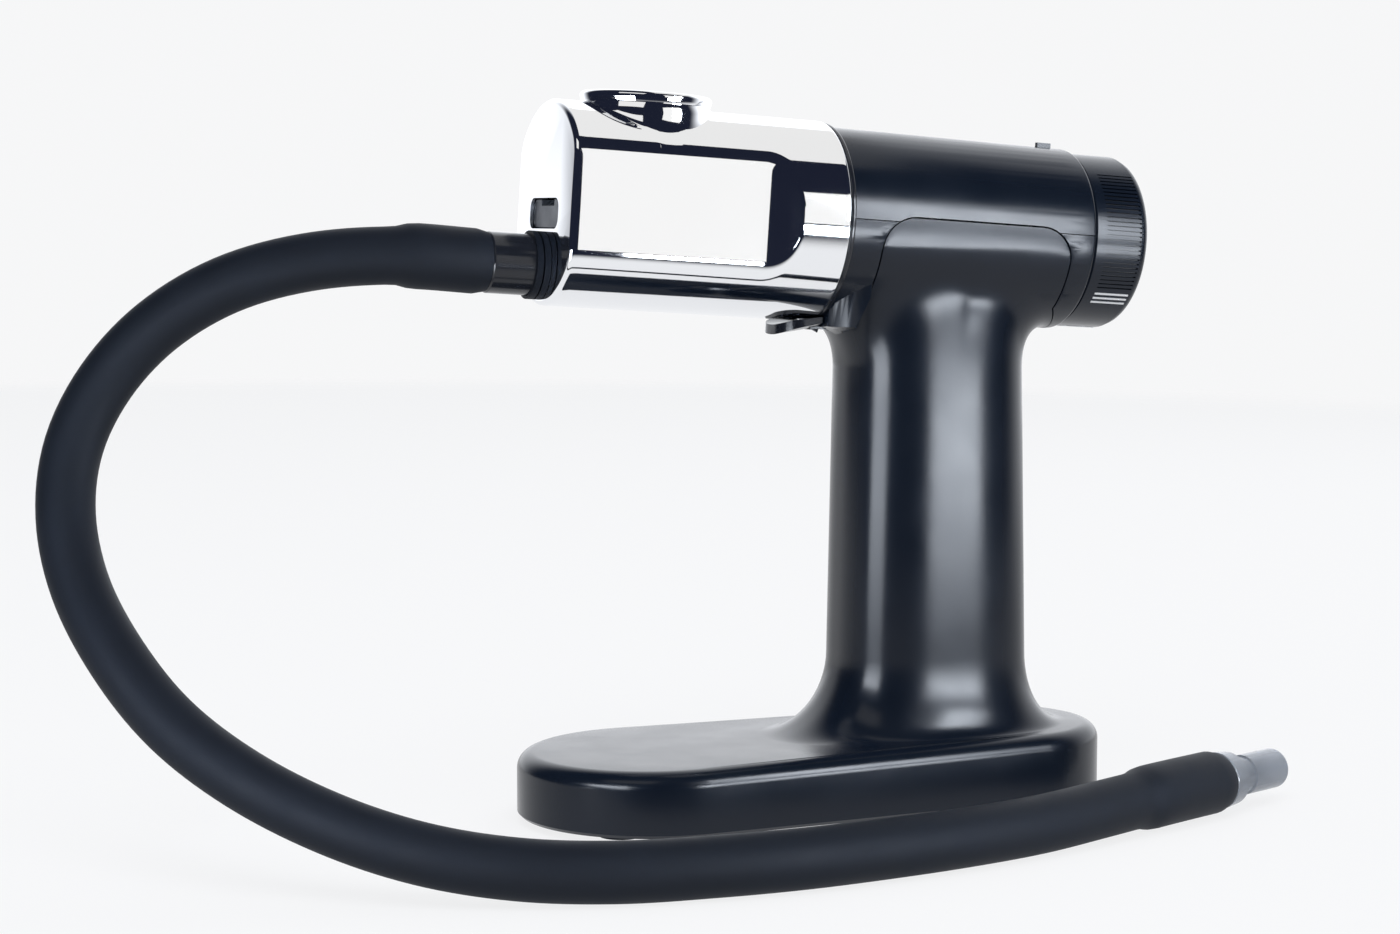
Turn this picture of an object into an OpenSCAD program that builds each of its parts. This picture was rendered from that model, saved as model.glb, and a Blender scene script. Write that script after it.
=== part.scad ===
// Handheld smoke infuser: a polished barrel with a burn bowl, a fan housing with
// a speed dial, a hollow grip on a flat base, and a flexible smoke hose.
// Millimetres. The base stands on z = 0 and the barrel points to -X.

/* [Barrel] */
// Outside diameter of the barrel
barrel_d = 47; // [46:0.5:49]
// Length of the barrel, front face to rear rim
barrel_len = 66; // [64:1:70]
// Thickness of the barrel's walls
barrel_wall = 2; // [1.6:0.1:2.2]
// Thickness of the barrel's front wall
front_wall = 4; // [3:0.5:5]
// Distance between the two side flats
flats_w = 39.2; // [38.6:0.2:41]
// Length of the round stretch between the flats and the rear rim
round_len = 20; // [18:1:24]
// Radius of the hollow that ends each flat
flat_runout_r = 11; // [9:1:14]
// How far the nose is tilted up
tube_tilt = 3.8; // [3:0.1:4.6]
// Height of the tube's axis above the grip
axis_z = 137.5; // [135:0.5:140]

/* [Burn bowl] */
// Distance of the bowl's axis behind the barrel's front face
bowl_setback = 23; // [21:1:27]
// Outside diameter of the raised collar round the bowl
collar_d = 30.4; // [29:0.4:32]
// Height of the collar above the barrel's top
collar_rise = 2.7; // [2:0.1:3.5]
// Inside diameter of the bowl
bowl_bore_d = 22; // [20:0.5:23]
// Height of the bowl's underside above the ash tray
bowl_clear = 3.5; // [2.5:0.5:6]
// Thickness of the bowl's wall
bowl_wall = 1.2; // [0.8:0.1:1.4]
// Thickness of the perforated screen
screen_t = 0.6; // [0.4:0.1:1]
// Diameter of a screen hole
screen_hole_d = 1.2; // [0.8:0.1:1.4]

/* [Ash tray] */
// Width of the slot in the front face
slot_w = 20; // [18:0.5:21]
// Height of the slot in the front face
slot_h = 7; // [6.6:0.2:7.6]
// Height of the slot's centre above the spigot's axis
slot_rise = 11.9; // [11.6:0.1:12.4]
// Length of the tray
tray_len = 38; // [34:1:42]
// How far the tray's face is recessed
tray_recess = 0.8; // [0.4:0.1:1.5]

/* [Smoke outlet] */
// Outside diameter of the spigot
spigot_d = 14; // [13:0.2:14.2]
// Height of the spigot's axis above the barrel's underside
spigot_rise = 9.1; // [8.9:0.1:9.3]
// Visible length of the spigot
spigot_len = 13.4; // [12:0.2:15]
// Diameter of the spigot's barb, inside the hose
barb_d = 10; // [9:0.2:10.4]
// Length of the barb
barb_len = 16; // [12:1:18]
// Bore of the smoke path
smoke_bore_d = 7; // [5:0.5:7.4]

/* [Fan and motor] */
// Length of the fan nose inside the barrel
nose_len = 10; // [8:1:12]
// Width of the fan's rim round the impeller
fan_rim_w = 3.9; // [3.4:0.1:6]
// Number of impeller blades
blades = 11; // [7:1:13]
// Diameter of the motor
motor_d = 20.4; // [18:0.4:24]
// Length of the motor's can
motor_len = 25; // [22:1:28]
// Diameter of the motor's shaft
motor_shaft_d = 2; // [1.6:0.1:2.4]

/* [Housing] */
// Distance of the barrel's rim ahead of the grip's axis
rim_ahead = 31; // [30:0.5:32]
// How far the housing's surface lies inside the barrel's
housing_step = 1.1; // [0.7:0.1:1.3]
// How much the housing's radius falls towards the dial
housing_taper = 0.6; // [0.2:0.1:0.9]
// Distance of the housing's rear edge behind the grip's axis
rear_behind = 34; // [33:0.5:36]
// Thickness of the housing's shells
shell_t = 2.2; // [1.8:0.1:2.4]
// Width of the bezel ring
bezel_w = 1.6; // [1.2:0.1:2]
// Height of the shells' parting line above the tube's axis
parting_rise = 0.8; // [0:0.1:1]

/* [Speed dial] */
// How far the dial's surface lies inside the housing's
dial_step = 0.9; // [0.5:0.1:1.3]
// Length of the dial
dial_len = 14.9; // [13:0.1:17]
// Width of the smooth band ahead of the ribs
dial_band = 2.9; // [2:0.1:4]
// Length of the ribs
rib_len = 9.4; // [8:0.1:10]
// Depth of the grooves between ribs
rib_depth = 0.5; // [0.3:0.05:0.7]
// Angle from one rib to the next
rib_pitch = 3; // [2.5:0.5:5]
// Diameter of the control's shaft
control_shaft_d = 6; // [5:0.5:7]

/* [Release lever] */
// Reach of the lever ahead of its pin
lever_len = 12.8; // [11:0.2:14]
// Width of the lever's blade
lever_w = 17; // [15:0.5:18]
// Thickness of the lever's blade at its tip
lever_t = 2.3; // [1.8:0.1:2.6]
// Thickness of the lever's blade at the housing
lever_root_t = 1.3; // [1:0.1:1.6]
// Angle at which the blade leans away from the barrel
lever_lean = 6; // [4:1:8]
// Width of the lever's arm inside the housing
lever_arm_w = 10; // [8:0.5:11]
// Diameter of the lever's pin
lever_pin_d = 1.6; // [1.2:0.1:1.8]

/* [Grip] */
// Length of the grip's section at the top, front to back
grip_top_l = 44.8; // [42:0.4:46]
// Length of the grip's section at the bottom, front to back
grip_foot_l = 47.8; // [46:0.4:50]
// Width of the grip's section
grip_w = 36; // [35.6:0.2:38]
// Thickness of the grip's wall
grip_wall = 2; // [1.6:0.1:2]
// Height at which the grip starts to flare into the base
flare_top_z = 36; // [32:1:42]
// Height at which the grip starts to flare into the housing
neck_z = 105; // [103:0.5:106]
// Radius of the flare at the front of the neck
neck_front_r = 10; // [9:0.5:11]
// Radius of the flare at the back of the neck
neck_rear_r = 8.5; // [8:0.5:10]

/* [Base] */
// Distance of the base's front edge ahead of the grip's axis
base_ahead = 102.5; // [98:0.5:108]
// Distance of the base's rear edge behind the grip's axis
base_behind = 44; // [42:0.5:48]
// Width of the base at its front
base_front_w = 64; // [60:1:68]
// Width of the base at its rear
base_rear_w = 52; // [50:1:56]
// Height of the base's top surface at its front
base_front_h = 15.4; // [14.8:0.2:17]
// Height of the base's top surface at its rear
base_rear_h = 17.8; // [17:0.2:19]
// Radius of the base's top edge
base_edge_r = 4.5; // [3:0.5:5]
// Thickness of the base's wall
base_wall = 2.2; // [1.8:0.1:2.6]
// Thickness of the base plate
plate_t = 2; // [1.8:0.1:2.2]
// Height of the rubber feet
foot_h = 1.5; // [1:0.1:2]
// Diameter of the rubber feet
foot_d = 10; // [8:0.5:12]

/* [Batteries] */
// Diameter of an AA cell
cell_d = 14.2; // [13.9:0.1:14.4]
// Length of an AA cell with its button
cell_len = 50.2; // [49.2:0.2:50.6]
// Length of the battery door
door_l = 39.4; // [38:0.2:40]
// Width of the battery door
door_w = 34; // [33:0.2:35]

/* [Hose] */
// Outside diameter of the hose
hose_d = 13; // [12:0.2:13.4]
// Inside diameter of the hose
hose_bore_d = 8; // [7:0.2:8.6]
// Outside diameter of the hose where it is stretched over a barb
cuff_d = 14.8; // [14.2:0.2:15]
// Length of the hose tip ahead of the hose
tip_len = 25; // [20:1:28]
// Outside diameter of the hose tip
tip_d = 9.6; // [9:0.2:10.4]

/* [Fits] */
// Gap round a piece that slides by hand
slide_gap = 0.3; // [0.2:0.05:0.4]
// Gap round a shaft or pin that turns
run_gap = 0.05; // [0.03:0.01:0.08]
// Gap between fixed pieces that seat on each other
seat_gap = 0.1; // [0.05:0.05:0.15]
// Width of a visible seam
seam_w = 0.4; // [0.2:0.05:0.5]
// Diameter of the small screws' shanks
screw_d = 2; // [1.8:0.1:2.2]
// Distance of the grip's axis behind the part's middle
grip_x = 38.5; // [36:0.5:41]

/* [Hidden] */
fine = 96;
round_fn = 48;

// Places along the tube's axis, counted from the grip's axis, + to the rear.
rim_s = -rim_ahead;
front_s = rim_s - barrel_len;
bezel_s = rim_s + bezel_w;
rear_s = rear_behind;
bowl_s = front_s + bowl_setback;
flats_len = barrel_len - round_len;
flat_end_s = front_s + flats_len;

// Radii.
barrel_r = barrel_d / 2;
cavity_r = barrel_r - barrel_wall;
cavity_y = flats_w / 2 - barrel_wall;
collar_r = collar_d / 2;
collar_top = barrel_r + collar_rise;
bowl_r = bowl_bore_d / 2 + bowl_wall;
bowl_hole_r = bowl_r + slide_gap;
flange_r = bowl_r + 1.6;
flange_t = 1.3;
gasket_t = 0.5;
flange_seat = collar_top - flange_t - gasket_t;
spigot_drop = barrel_r - spigot_rise;
slot_drop = spigot_drop - slot_rise;
bowl_floor = slot_h / 2 - slide_gap - slot_drop + bowl_clear;
housing_r0 = barrel_r - housing_step;
housing_r1 = housing_r0 - housing_taper;
dial_r = housing_r1 - dial_step;
shell_in_r = housing_r1 - shell_t;
backing_t = 1.5;
backing_in_r = shell_in_r - seat_gap - backing_t;

// Fan, motor and control, along the axis.
nose_r = cavity_r - slide_gap;
neck_r = shell_in_r - 2 * seat_gap;
nose_s = rim_s - nose_len;
nose_wall = 2.4;
nose_rear_s = rim_s + 4.2;
impeller_r = neck_r - fan_rim_w;
fan_cavity_r = impeller_r + 1.5;
duct_r = spigot_d / 2 - 1.5;
intake_r = spigot_drop - duct_r - slide_gap - 1.1;
impeller_back_s = rim_s + 1.6;
impeller_front_s = nose_s + nose_wall + 1;
bracket_t = 2;
bracket_s = nose_rear_s;
motor_s = bracket_s + bracket_t;
motor_end_s = motor_s + motor_len;
shaft_front_s = impeller_front_s + 0.6;
board_t = 1.6;
board_inset = 7.6;
board_w = 2 * (shell_in_r - board_inset);
board_h = board_w - 2;
control_t = 8;
control_w = 17;
control_h = 18;
plate_rear_t = 2.5;
rear_plate_s = rear_s - plate_rear_t - 1.2;
control_s = rear_plate_s - control_t;
board_s = control_s - board_t;
dial_s = rear_s + slide_gap;
dial_end_s = dial_s + dial_len;
ribs_s = dial_s + dial_band;

// Dial: the ribs cover one sector on each side, and the marks stand below them.
rib_from = 40;
rib_to = 125;
mark_w = 1.4;
mark_gap = 3.6;
mark_t = 0.14;
mark_short = 0.3;
pointer_l = 3.6;
pointer_w = 1.2;
pointer_sink = 0.6;
pointer_rise = 1.1;
pointer_s = rear_s - 6.4;

// Lever: its pin lies in the chin under the front of the housing.
lever_gap = 0.3;
lever_hub_r = 1.7;
pin_s = rim_s + 4.6;
pin_z = -barrel_r - 0.1;
blade_s0 = bezel_s - 0.4;
blade_s1 = pin_s - lever_len;
chin_pocket_w = lever_arm_w + 2 * slide_gap;
pin_len = 16;

// Saddle: where the grip takes hold of the housing.
saddle_s0 = rim_s + 9.5;
saddle_s1 = rear_s - 6.5;
saddle_top = parting_rise + 1;
saddle_corner = 8;
saddle_flare_z = 6.5 - barrel_r;
saddle_screw_places = [saddle_s0 + 10, saddle_s1 - 9];
saddle_screw_under = 10;
neck_cut_z = -barrel_r - 7;

// Base.
front_c = grip_x - base_ahead + base_front_w / 2;
rear_c = grip_x + base_behind - base_rear_w / 2;
plate_z = foot_h + plate_t;
ring_n = 64;

// Batteries: four cells stand in the grip, two by two.
cell_r = cell_d / 2;
cell_hole_r = cell_r + 0.15;
cell_pitch = 2 * cell_hole_r + 0.4;
cell_z = plate_z + 5.6;
cell_top = cell_z + cell_len;
sleeve_half = cell_pitch / 2 + cell_hole_r + 0.45;
sleeve_top = cell_top + 3.4;
well_a = sleeve_half + 4.6;
well_b = sleeve_half + 0.6;
well_top = sleeve_top + 30;

// Battery door: hinged at its front edge.
door_x0 = grip_x - door_l / 2;
door_x1 = grip_x + door_l / 2;
hinge_r = plate_t / 2;
hinge_z = foot_h + hinge_r;
hinge_pin_r = 0.5;
hinge_pin_over = 2.5;

// Fasteners.
screw_r = screw_d / 2;
head_r = screw_r + 0.9;
head_t = 1.4;
saddle_screw_r = screw_r * 1.4;

// The hose leaves the spigot, swings down to the table and runs past the base.
hose_route = [
    [-72.6, 0, 130.5], [-93.5, 0, 132], [-113, 3.5, 130.5], [-130, 8.5, 125.5],
    [-144.5, 12.5, 116.5], [-155.5, 15, 104.5], [-163, 14, 90.5], [-166, 8.5, 75.5],
    [-164.5, -0.5, 60.5], [-159, -13, 46.5], [-150.5, -26, 34], [-138.5, -39.5, 24],
    [-123.5, -52, 16], [-107, -63, 10.5], [-89, -71.5, 7.5], [-69.5, -77.5, 6.5],
    [-49, -80, 6.5], [-28.5, -80, 6.5], [-7.5, -77.5, 6.5], [13.5, -73.5, 6.5],
    [34, -67.5, 6.5], [54, -60, 7], [74, -52, 7.5], [93.5, -43.5, 7.5]
];
hose_sides = 10;
cuff_bore_r = barb_d / 2 / cos(180 / hose_sides) + seat_gap;
// The wires rise from the sleeve through the neck to the control.
wire_low = sleeve_top + 1.3;
wire_high = axis_z - 25.5;
function wire_z(u) = wire_low + (wire_high - wire_low) * u;
wire_route = [
    [-3, 0, wire_z(0)], [-4, 1, wire_z(0.25)], [-3, 1, wire_z(0.5)], [0, 0, wire_z(0.75)],
    [0, 0, wire_high], [3, 0, wire_high + 7], [8, 0, wire_high + 12]
];
wire_d = 1.6;
wire_pass_s = 4.5;
wire_pass_r = 5;

// ---------------------------------------------------------------- helpers

// Points of an arc from angle a0 to a1.
function arc(c, r, a0, a1, n = 8) =
    [for (i = [0:n]) let (a = a0 + (a1 - a0) * i / n) c + r * [cos(a), sin(a)]];

// Moves a piece from the tube's own frame, s along the axis, into place.
module in_tube() {
    translate([grip_x, 0, axis_z]) rotate([0, tube_tilt, 0]) children();
}

// Turns a profile of [radius, s] points about the tube's axis.
module turned(points, faces = fine) {
    rotate([0, 90, 0]) rotate_extrude($fn = faces) polygon(points);
}

// A rod along the tube's axis from s0 to s1.
module rod(r, s0, s1, faces = round_fn) {
    translate([s0, 0, 0]) rotate([0, 90, 0]) cylinder(r = r, h = s1 - s0, $fn = faces);
}

// A tube along the tube's axis.
module pipe(r, bore_r, s0, s1, faces = round_fn) {
    turned([[bore_r, s0], [r, s0], [r, s1], [bore_r, s1]], faces);
}

// A flat outline of [y, z] points, extruded along the tube from s0 to s1.
module along_tube(s0, s1) {
    translate([s0, 0, 0]) rotate([90, 0, 90]) linear_extrude(s1 - s0) children();
}

// A rounded rectangle with its centre at the origin.
module rounded_rect(w, h, r) {
    x = w / 2 - r;
    y = h / 2 - r;
    polygon(concat(
        arc([x, y], r, 0, 90), arc([-x, y], r, 90, 180),
        arc([-x, -y], r, 180, 270), arc([x, -y], r, 270, 360)
    ));
}

// Radius of the housing's outside at s.
function housing_r(s) =
    housing_r0 + (housing_r1 - housing_r0) * (s - bezel_s) / (rear_s - bezel_s);

// One point of a Catmull-Rom curve through a route, at parameter t.
function route_at(p, t) =
    let (n = len(p) - 1, i = min(floor(t), n - 1), u = t - i,
         b = p[i], c = p[i + 1],
         a = i == 0 ? 2 * b - c : p[i - 1],
         d = i == n - 1 ? 2 * c - b : p[i + 2])
    0.5 * (2 * b + (c - a) * u + (2 * a - 5 * b + 4 * c - d) * u * u
           + (3 * b - a - 3 * c + d) * u * u * u);
function unit(v) = v / norm(v);
function headings(p) = [for (i = [0:len(p) - 1])
    unit(p[min(i + 1, len(p) - 1)] - p[max(i - 1, 0)])];
// Normals carried along the curve without twist.
function normals(h) = [
    for (i = 0, n = unit(cross(h[0], [0.3, 0.9, 0.3])); i < len(h);
         i = i + 1, n = i < len(h) ? unit(n - (n * h[i]) * h[i]) : n) n
];
function ring(c, h, n, r, sides) =
    let (m = cross(h, n))
    [for (k = [0:sides - 1]) c + r * (cos(360 * k / sides) * n + sin(360 * k / sides) * m)];

// A solid sweep of radii r along the points p.
module sweep(p, r, sides) {
    h = headings(p);
    n = normals(h);
    last = len(p) - 1;
    points = [for (i = [0:last]) each ring(p[i], h[i], n[i], r[i], sides)];
    walls = [for (i = [0:last - 1], k = [0:sides - 1])
        let (a = i * sides + k, b = i * sides + (k + 1) % sides)
        each [[a, a + sides, b + sides], [a, b + sides, b]]];
    caps = [[for (k = [0:sides - 1]) k], [for (k = [0:sides - 1]) last * sides + sides - 1 - k]];
    polyhedron(points, concat(walls, caps), convexity = 6);
}

// A hollow sweep: radii r outside and q inside.
module hollow_sweep(p, r, q, sides) {
    h = headings(p);
    n = normals(h);
    last = len(p) - 1;
    inner = (last + 1) * sides;
    points = concat(
        [for (i = [0:last]) each ring(p[i], h[i], n[i], r[i], sides)],
        [for (i = [0:last]) each ring(p[i], h[i], n[i], q[i], sides)]
    );
    outside = [for (i = [0:last - 1], k = [0:sides - 1])
        let (a = i * sides + k, b = i * sides + (k + 1) % sides)
        each [[a, a + sides, b + sides], [a, b + sides, b]]];
    inside = [for (i = [0:last - 1], k = [0:sides - 1])
        let (a = inner + i * sides + k, b = inner + i * sides + (k + 1) % sides)
        each [[a, b + sides, a + sides], [a, b, b + sides]]];
    ends = [for (k = [0:sides - 1])
        let (j = (k + 1) % sides, e = last * sides)
        each [[k, j, inner + j], [k, inner + j, inner + k],
              [e + k, inner + e + j, e + j], [e + k, inner + e + k, inner + e + j]]];
    polyhedron(points, concat(outside, inside, ends), convexity = 6);
}

// ---------------------------------------------------------------- barrel

// What is milled off one side: a flat that ends in a concave run-out.
module flat_cutter() {
    y = flats_w / 2;
    drop = barrel_r - y;
    run = acos((flat_runout_r - drop) / flat_runout_r);
    outline = concat(
        [[front_s - 1, barrel_r + 2], [front_s - 1, y]],
        arc([flat_end_s, y + flat_runout_r], flat_runout_r, -90, -90 + run, 10),
        [[flat_end_s + flat_runout_r * sin(run) + 1, barrel_r + 2]]
    );
    translate([0, 0, -barrel_r - 1]) linear_extrude(2 * barrel_r + 2) polygon(outline);
}

// The raised collar round the bowl, flaring softly into the barrel.
module collar() {
    flare = 3.4;
    foot_z = 13;
    edge = 0.7;
    translate([bowl_s, 0, 0]) rotate_extrude($fn = fine) polygon(concat(
        [[0, foot_z], [collar_r + flare, foot_z]],
        [for (i = [1:8]) let (u = i / 8)
            [collar_r + flare * (1 - u) * (1 - u), foot_z + (barrel_r - 1 - foot_z) * u]],
        arc([collar_r - edge, collar_top - edge], edge, 0, 90, 4),
        [[0, collar_top]]
    ));
}

// Two ledges that carry the tray inside the barrel.
module tray_ledges() {
    z = -slot_drop - slot_h / 2;
    inner = slot_w / 2 - 1.2;
    for (side = [-1, 1])
        translate([front_s + 1, side > 0 ? inner : -cavity_y - 0.5, z - 1])
            cube([tray_len, cavity_y + 0.5 - inner, 1]);
}

module barrel() color("silver") in_tube() {
    edge = 1.2;
    difference() {
        union() {
            difference() {
                turned(concat(
                    [[0, front_s]],
                    arc([barrel_r - edge, front_s + edge], edge, -90, 0, 5),
                    [[barrel_r, rim_s], [0, rim_s]]
                ));
                flat_cutter();
                mirror([0, 1, 0]) flat_cutter();
            }
            collar();
        }
        difference() {
            rod(cavity_r, front_s + front_wall, rim_s + 1, fine);
            for (side = [-1, 1])
                translate([front_s, side > 0 ? cavity_y : -barrel_r - cavity_y, -barrel_r])
                    cube([flats_len + flat_runout_r * 0.78, barrel_r, 2 * barrel_r]);
            tray_ledges();
        }
        translate([bowl_s, 0, 0]) cylinder(r = bowl_hole_r, h = collar_top + 1, $fn = fine);
        translate([bowl_s, 0, flange_seat])
            cylinder(r = flange_r + slide_gap, h = collar_rise + flange_t + 2, $fn = fine);
        translate([0, 0, -slot_drop]) along_tube(front_s - 1, front_s + front_wall + 1)
            rounded_rect(slot_w, slot_h, 2.4);
        translate([0, 0, -spigot_drop])
            rod(spigot_d / 2 + seat_gap, front_s - 1, front_s + front_wall + 1);
        translate([rim_s - 3.6, -lever_arm_w / 2, -barrel_r - 1]) cube([2, lever_arm_w, 1.9]);
    }
}

// ---------------------------------------------------------------- burn bowl

module burn_bowl() color("silver") in_tube() translate([bowl_s, 0, 0]) {
    lip = 0.5;
    inner = bowl_bore_d / 2;
    seat = bowl_floor + bowl_wall;
    rotate_extrude($fn = fine) polygon(concat(
        [[inner - 2, bowl_floor], [bowl_r, bowl_floor], [bowl_r, flange_seat + gasket_t],
         [flange_r, flange_seat + gasket_t]],
        arc([flange_r - lip, collar_top - lip], lip, 0, 90, 4),
        [[inner + 0.6, collar_top], [inner, collar_top - 0.6], [inner, seat],
         [inner - 2, seat]]
    ));
}

module bowl_screen() color("gray") in_tube() translate([bowl_s, 0, 0]) {
    r = bowl_bore_d / 2 - seat_gap;
    pitch = screen_hole_d + 1;
    rows = floor((r - 1.6) / pitch / 0.866);
    translate([0, 0, bowl_floor + bowl_wall]) linear_extrude(screen_t) difference() {
        circle(r, $fn = round_fn);
        for (j = [-rows:rows], i = [-rows:rows]) {
            x = (i + (j % 2 == 0 ? 0 : 0.5)) * pitch;
            y = j * pitch * 0.866;
            if (norm([x, y]) < r - 1.4)
                translate([x, y]) circle(screen_hole_d / 2, $fn = 6);
        }
    }
}

module bowl_gasket() color("dimgray") in_tube() translate([bowl_s, 0, flange_seat])
    rotate_extrude($fn = round_fn) translate([bowl_hole_r + 0.1, 0])
        square([flange_r - bowl_hole_r - 0.2, gasket_t]);

// ---------------------------------------------------------------- ash tray

module ash_tray() color("dimgray") in_tube() translate([0, 0, -slot_drop]) {
    w = slot_w - 2 * slide_gap;
    h = slot_h - 2 * slide_gap;
    wall = 1;
    s0 = front_s + tray_recess;
    s1 = s0 + tray_len - 2;
    face_t = front_wall + 1 - tray_recess;
    difference() {
        along_tube(s0, s1) rounded_rect(w, h, 2.1);
        translate([s0 + face_t, -w / 2 + wall, -h / 2 + wall])
            cube([s1 - s0 - face_t - wall, w - 2 * wall, h]);
        translate([s0 + 0.2, 0, h / 2 + 2.2]) rotate([90, 0, 0])
            cylinder(r = 3.6, h = 9, center = true, $fn = round_fn);
    }
}

// ---------------------------------------------------------------- smoke outlet

module smoke_duct() color("dimgray") in_tube() translate([0, 0, -spigot_drop])
    pipe(duct_r, duct_r - 1, front_s + front_wall - 1, nose_s + nose_wall - 0.6);

module smoke_spigot() color("black") in_tube() translate([0, 0, -spigot_drop]) {
    r = spigot_d / 2;
    bore = smoke_bore_d / 2;
    tip = front_s - spigot_len;
    socket = duct_r + seat_gap;
    barb = barb_d / 2;
    turned(concat(
        [[bore, tip - barb_len], [barb - 1.2, tip - barb_len]],
        [for (k = [0:2]) let (s = tip - barb_len + 2 + 3.6 * k)
            each [[barb, s], [barb, s + 0.8], [barb - 0.7, s + 0.8]]],
        [[barb - 0.7, tip], [r - 0.4, tip], [r, tip + 0.4], [r, front_s + front_wall],
         [socket, front_s + front_wall], [socket, front_s + front_wall - 1.4],
         [bore, front_s + front_wall - 1.4]]
    ), round_fn);
}

// Two rings where the spigot enters the front wall.
module spigot_seals() color("black") in_tube() translate([0, 0, -spigot_drop])
    for (k = [0:1])
        pipe(spigot_d / 2 + 0.8, spigot_d / 2 + seat_gap / 2,
             front_s - 1.5 - 1.8 * k, front_s - 0.1 - 1.8 * k);

module barrel_seal() color("dimgray") in_tube()
    rotate([0, 90, 0]) translate([0, 0, rim_s - nose_len / 2])
        rotate_extrude($fn = fine) translate([nose_r - 0.35, 0]) circle(0.6, $fn = 16);

// ---------------------------------------------------------------- fan and motor

module front_bezel() color("black") in_tube() {
    lip = 0.5;
    r = barrel_r - 0.2;
    turned(concat(
        [[neck_r + seat_gap, rim_s + 0.15]],
        arc([r - lip, rim_s + 0.15 + lip], lip, -90, 0, 4),
        arc([r - lip, bezel_s - seat_gap - lip], lip, 0, 90, 4),
        [[neck_r + seat_gap, bezel_s - seat_gap]]
    ));
}

module fan_nose() color("dimgray") in_tube() difference() {
    turned([
        [0, nose_s], [nose_r - 0.8, nose_s], [nose_r, nose_s + 0.8],
        [nose_r, rim_s - nose_len / 2 - 0.8], [nose_r - 1.05, rim_s - nose_len / 2 - 0.8],
        [nose_r - 1.05, rim_s - nose_len / 2 + 0.8], [nose_r, rim_s - nose_len / 2 + 0.8],
        [nose_r, rim_s - 0.1], [neck_r, rim_s - 0.1], [neck_r, nose_rear_s], [0, nose_rear_s]
    ]);
    rod(fan_cavity_r, nose_s + nose_wall, nose_rear_s + 1, fine);
    rod(intake_r, nose_s - 1, nose_s + nose_wall + 1);
    translate([0, 0, -spigot_drop]) rod(duct_r + slide_gap, nose_s - 1, nose_s + nose_wall + 1);
    for (a = [0:120:359]) rotate([a, 0, 0])
        translate([0, 0, (fan_cavity_r + neck_r) / 2])
            rod(screw_r * 0.6 + run_gap, nose_rear_s - 2.2, nose_rear_s + 1, 24);
}

// A centrifugal wheel with backward-curved blades.
module impeller() color("darkslategray") in_tube() {
    r = impeller_r;
    hub = 3.2;
    blade_t = 0.9;
    curve_r = r * 0.62;
    difference() {
        union() {
            rod(r, impeller_back_s - 1, impeller_back_s, fine);
            rod(hub, impeller_front_s + 1, impeller_back_s);
            for (k = [0:blades - 1]) rotate([360 * k / blades, 0, 0])
                along_tube(impeller_front_s, impeller_back_s - 0.5)
                    polygon(concat(
                        arc([0, curve_r + 2.6], curve_r, -72, 30, 10),
                        arc([0, curve_r + 2.6], curve_r - blade_t, 30, -72, 10)
                    ));
        }
        rod(motor_shaft_d / 2 + run_gap / 2, impeller_front_s - 1, impeller_back_s + 1, 32);
        difference() {
            rod(2 * r, impeller_front_s - 1, impeller_back_s + 1, fine);
            rod(r, impeller_front_s - 2, impeller_back_s + 2, fine);
        }
    }
}

module motor() color("silver") in_tube() difference() {
    union() {
        turned([[0, motor_s], [motor_d / 2 - 0.8, motor_s], [motor_d / 2, motor_s + 0.8],
                [motor_d / 2, motor_end_s - 2], [0, motor_end_s - 2]]);
        rod(3, bracket_s + 0.1, motor_s);
    }
    rod(motor_shaft_d / 2 + run_gap, bracket_s - 1, motor_end_s + 1, 32);
    for (side = [-1, 1]) translate([0, side * motor_d * 0.32, 0])
        rod(screw_r * 0.8 + run_gap, motor_s - 1, motor_s + 3, 24);
}

module motor_end_cap() color("dimgray") in_tube() {
    difference() {
        rod(motor_d / 2 - 0.8, motor_end_s - 2 + seat_gap, motor_end_s + 1);
        rod(motor_shaft_d / 2 + run_gap, motor_end_s - 3, motor_end_s + 2, 32);
    }
    for (side = [-1, 1])
        translate([motor_end_s + 1, side * motor_d * 0.3 - 1.2, -0.2]) cube([3, 2.4, 0.4]);
}

module motor_shaft() color("silver") in_tube()
    rod(motor_shaft_d / 2, shaft_front_s, motor_end_s + 2, 32);

module motor_bracket() color("dimgray") in_tube() difference() {
    rod(neck_r, bracket_s + 0.05, motor_s - 0.05, fine);
    rod(3 + seat_gap, bracket_s - 1, motor_s + 1);
    for (side = [-1, 1]) translate([0, side * motor_d * 0.32, 0])
        rod(screw_r * 0.8 + run_gap, bracket_s - 1, motor_s + 1, 24);
    for (a = [0:120:359]) rotate([a, 0, 0])
        translate([0, 0, (fan_cavity_r + neck_r) / 2])
            rod(screw_r * 0.6 + run_gap, bracket_s - 1, motor_s + 1, 24);
}

module motor_screws() color("silver") in_tube()
    for (side = [-1, 1]) translate([0, side * motor_d * 0.32, 0]) {
        rod(screw_r * 0.8, bracket_s - 0.4, motor_s + 2.8, 24);
        rod(screw_r * 1.5, bracket_s - 1, bracket_s, 24);
    }

module bracket_screws() color("silver") in_tube()
    for (a = [0:120:359]) rotate([a, 0, 0])
        translate([0, 0, (fan_cavity_r + neck_r) / 2]) {
            rod(screw_r * 0.6, bracket_s - 2, motor_s + 0.2, 24);
            rod(screw_r, motor_s, motor_s + 1, 24);
        }

// ---------------------------------------------------------------- control and dial

module control_board() color("darkgreen") in_tube() difference() {
    translate([board_s, -board_w / 2, -board_h / 2]) cube([board_t, board_w, board_h]);
    rod(control_shaft_d / 2 + 0.5, board_s - 1, board_s + board_t + 1);
}

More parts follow.
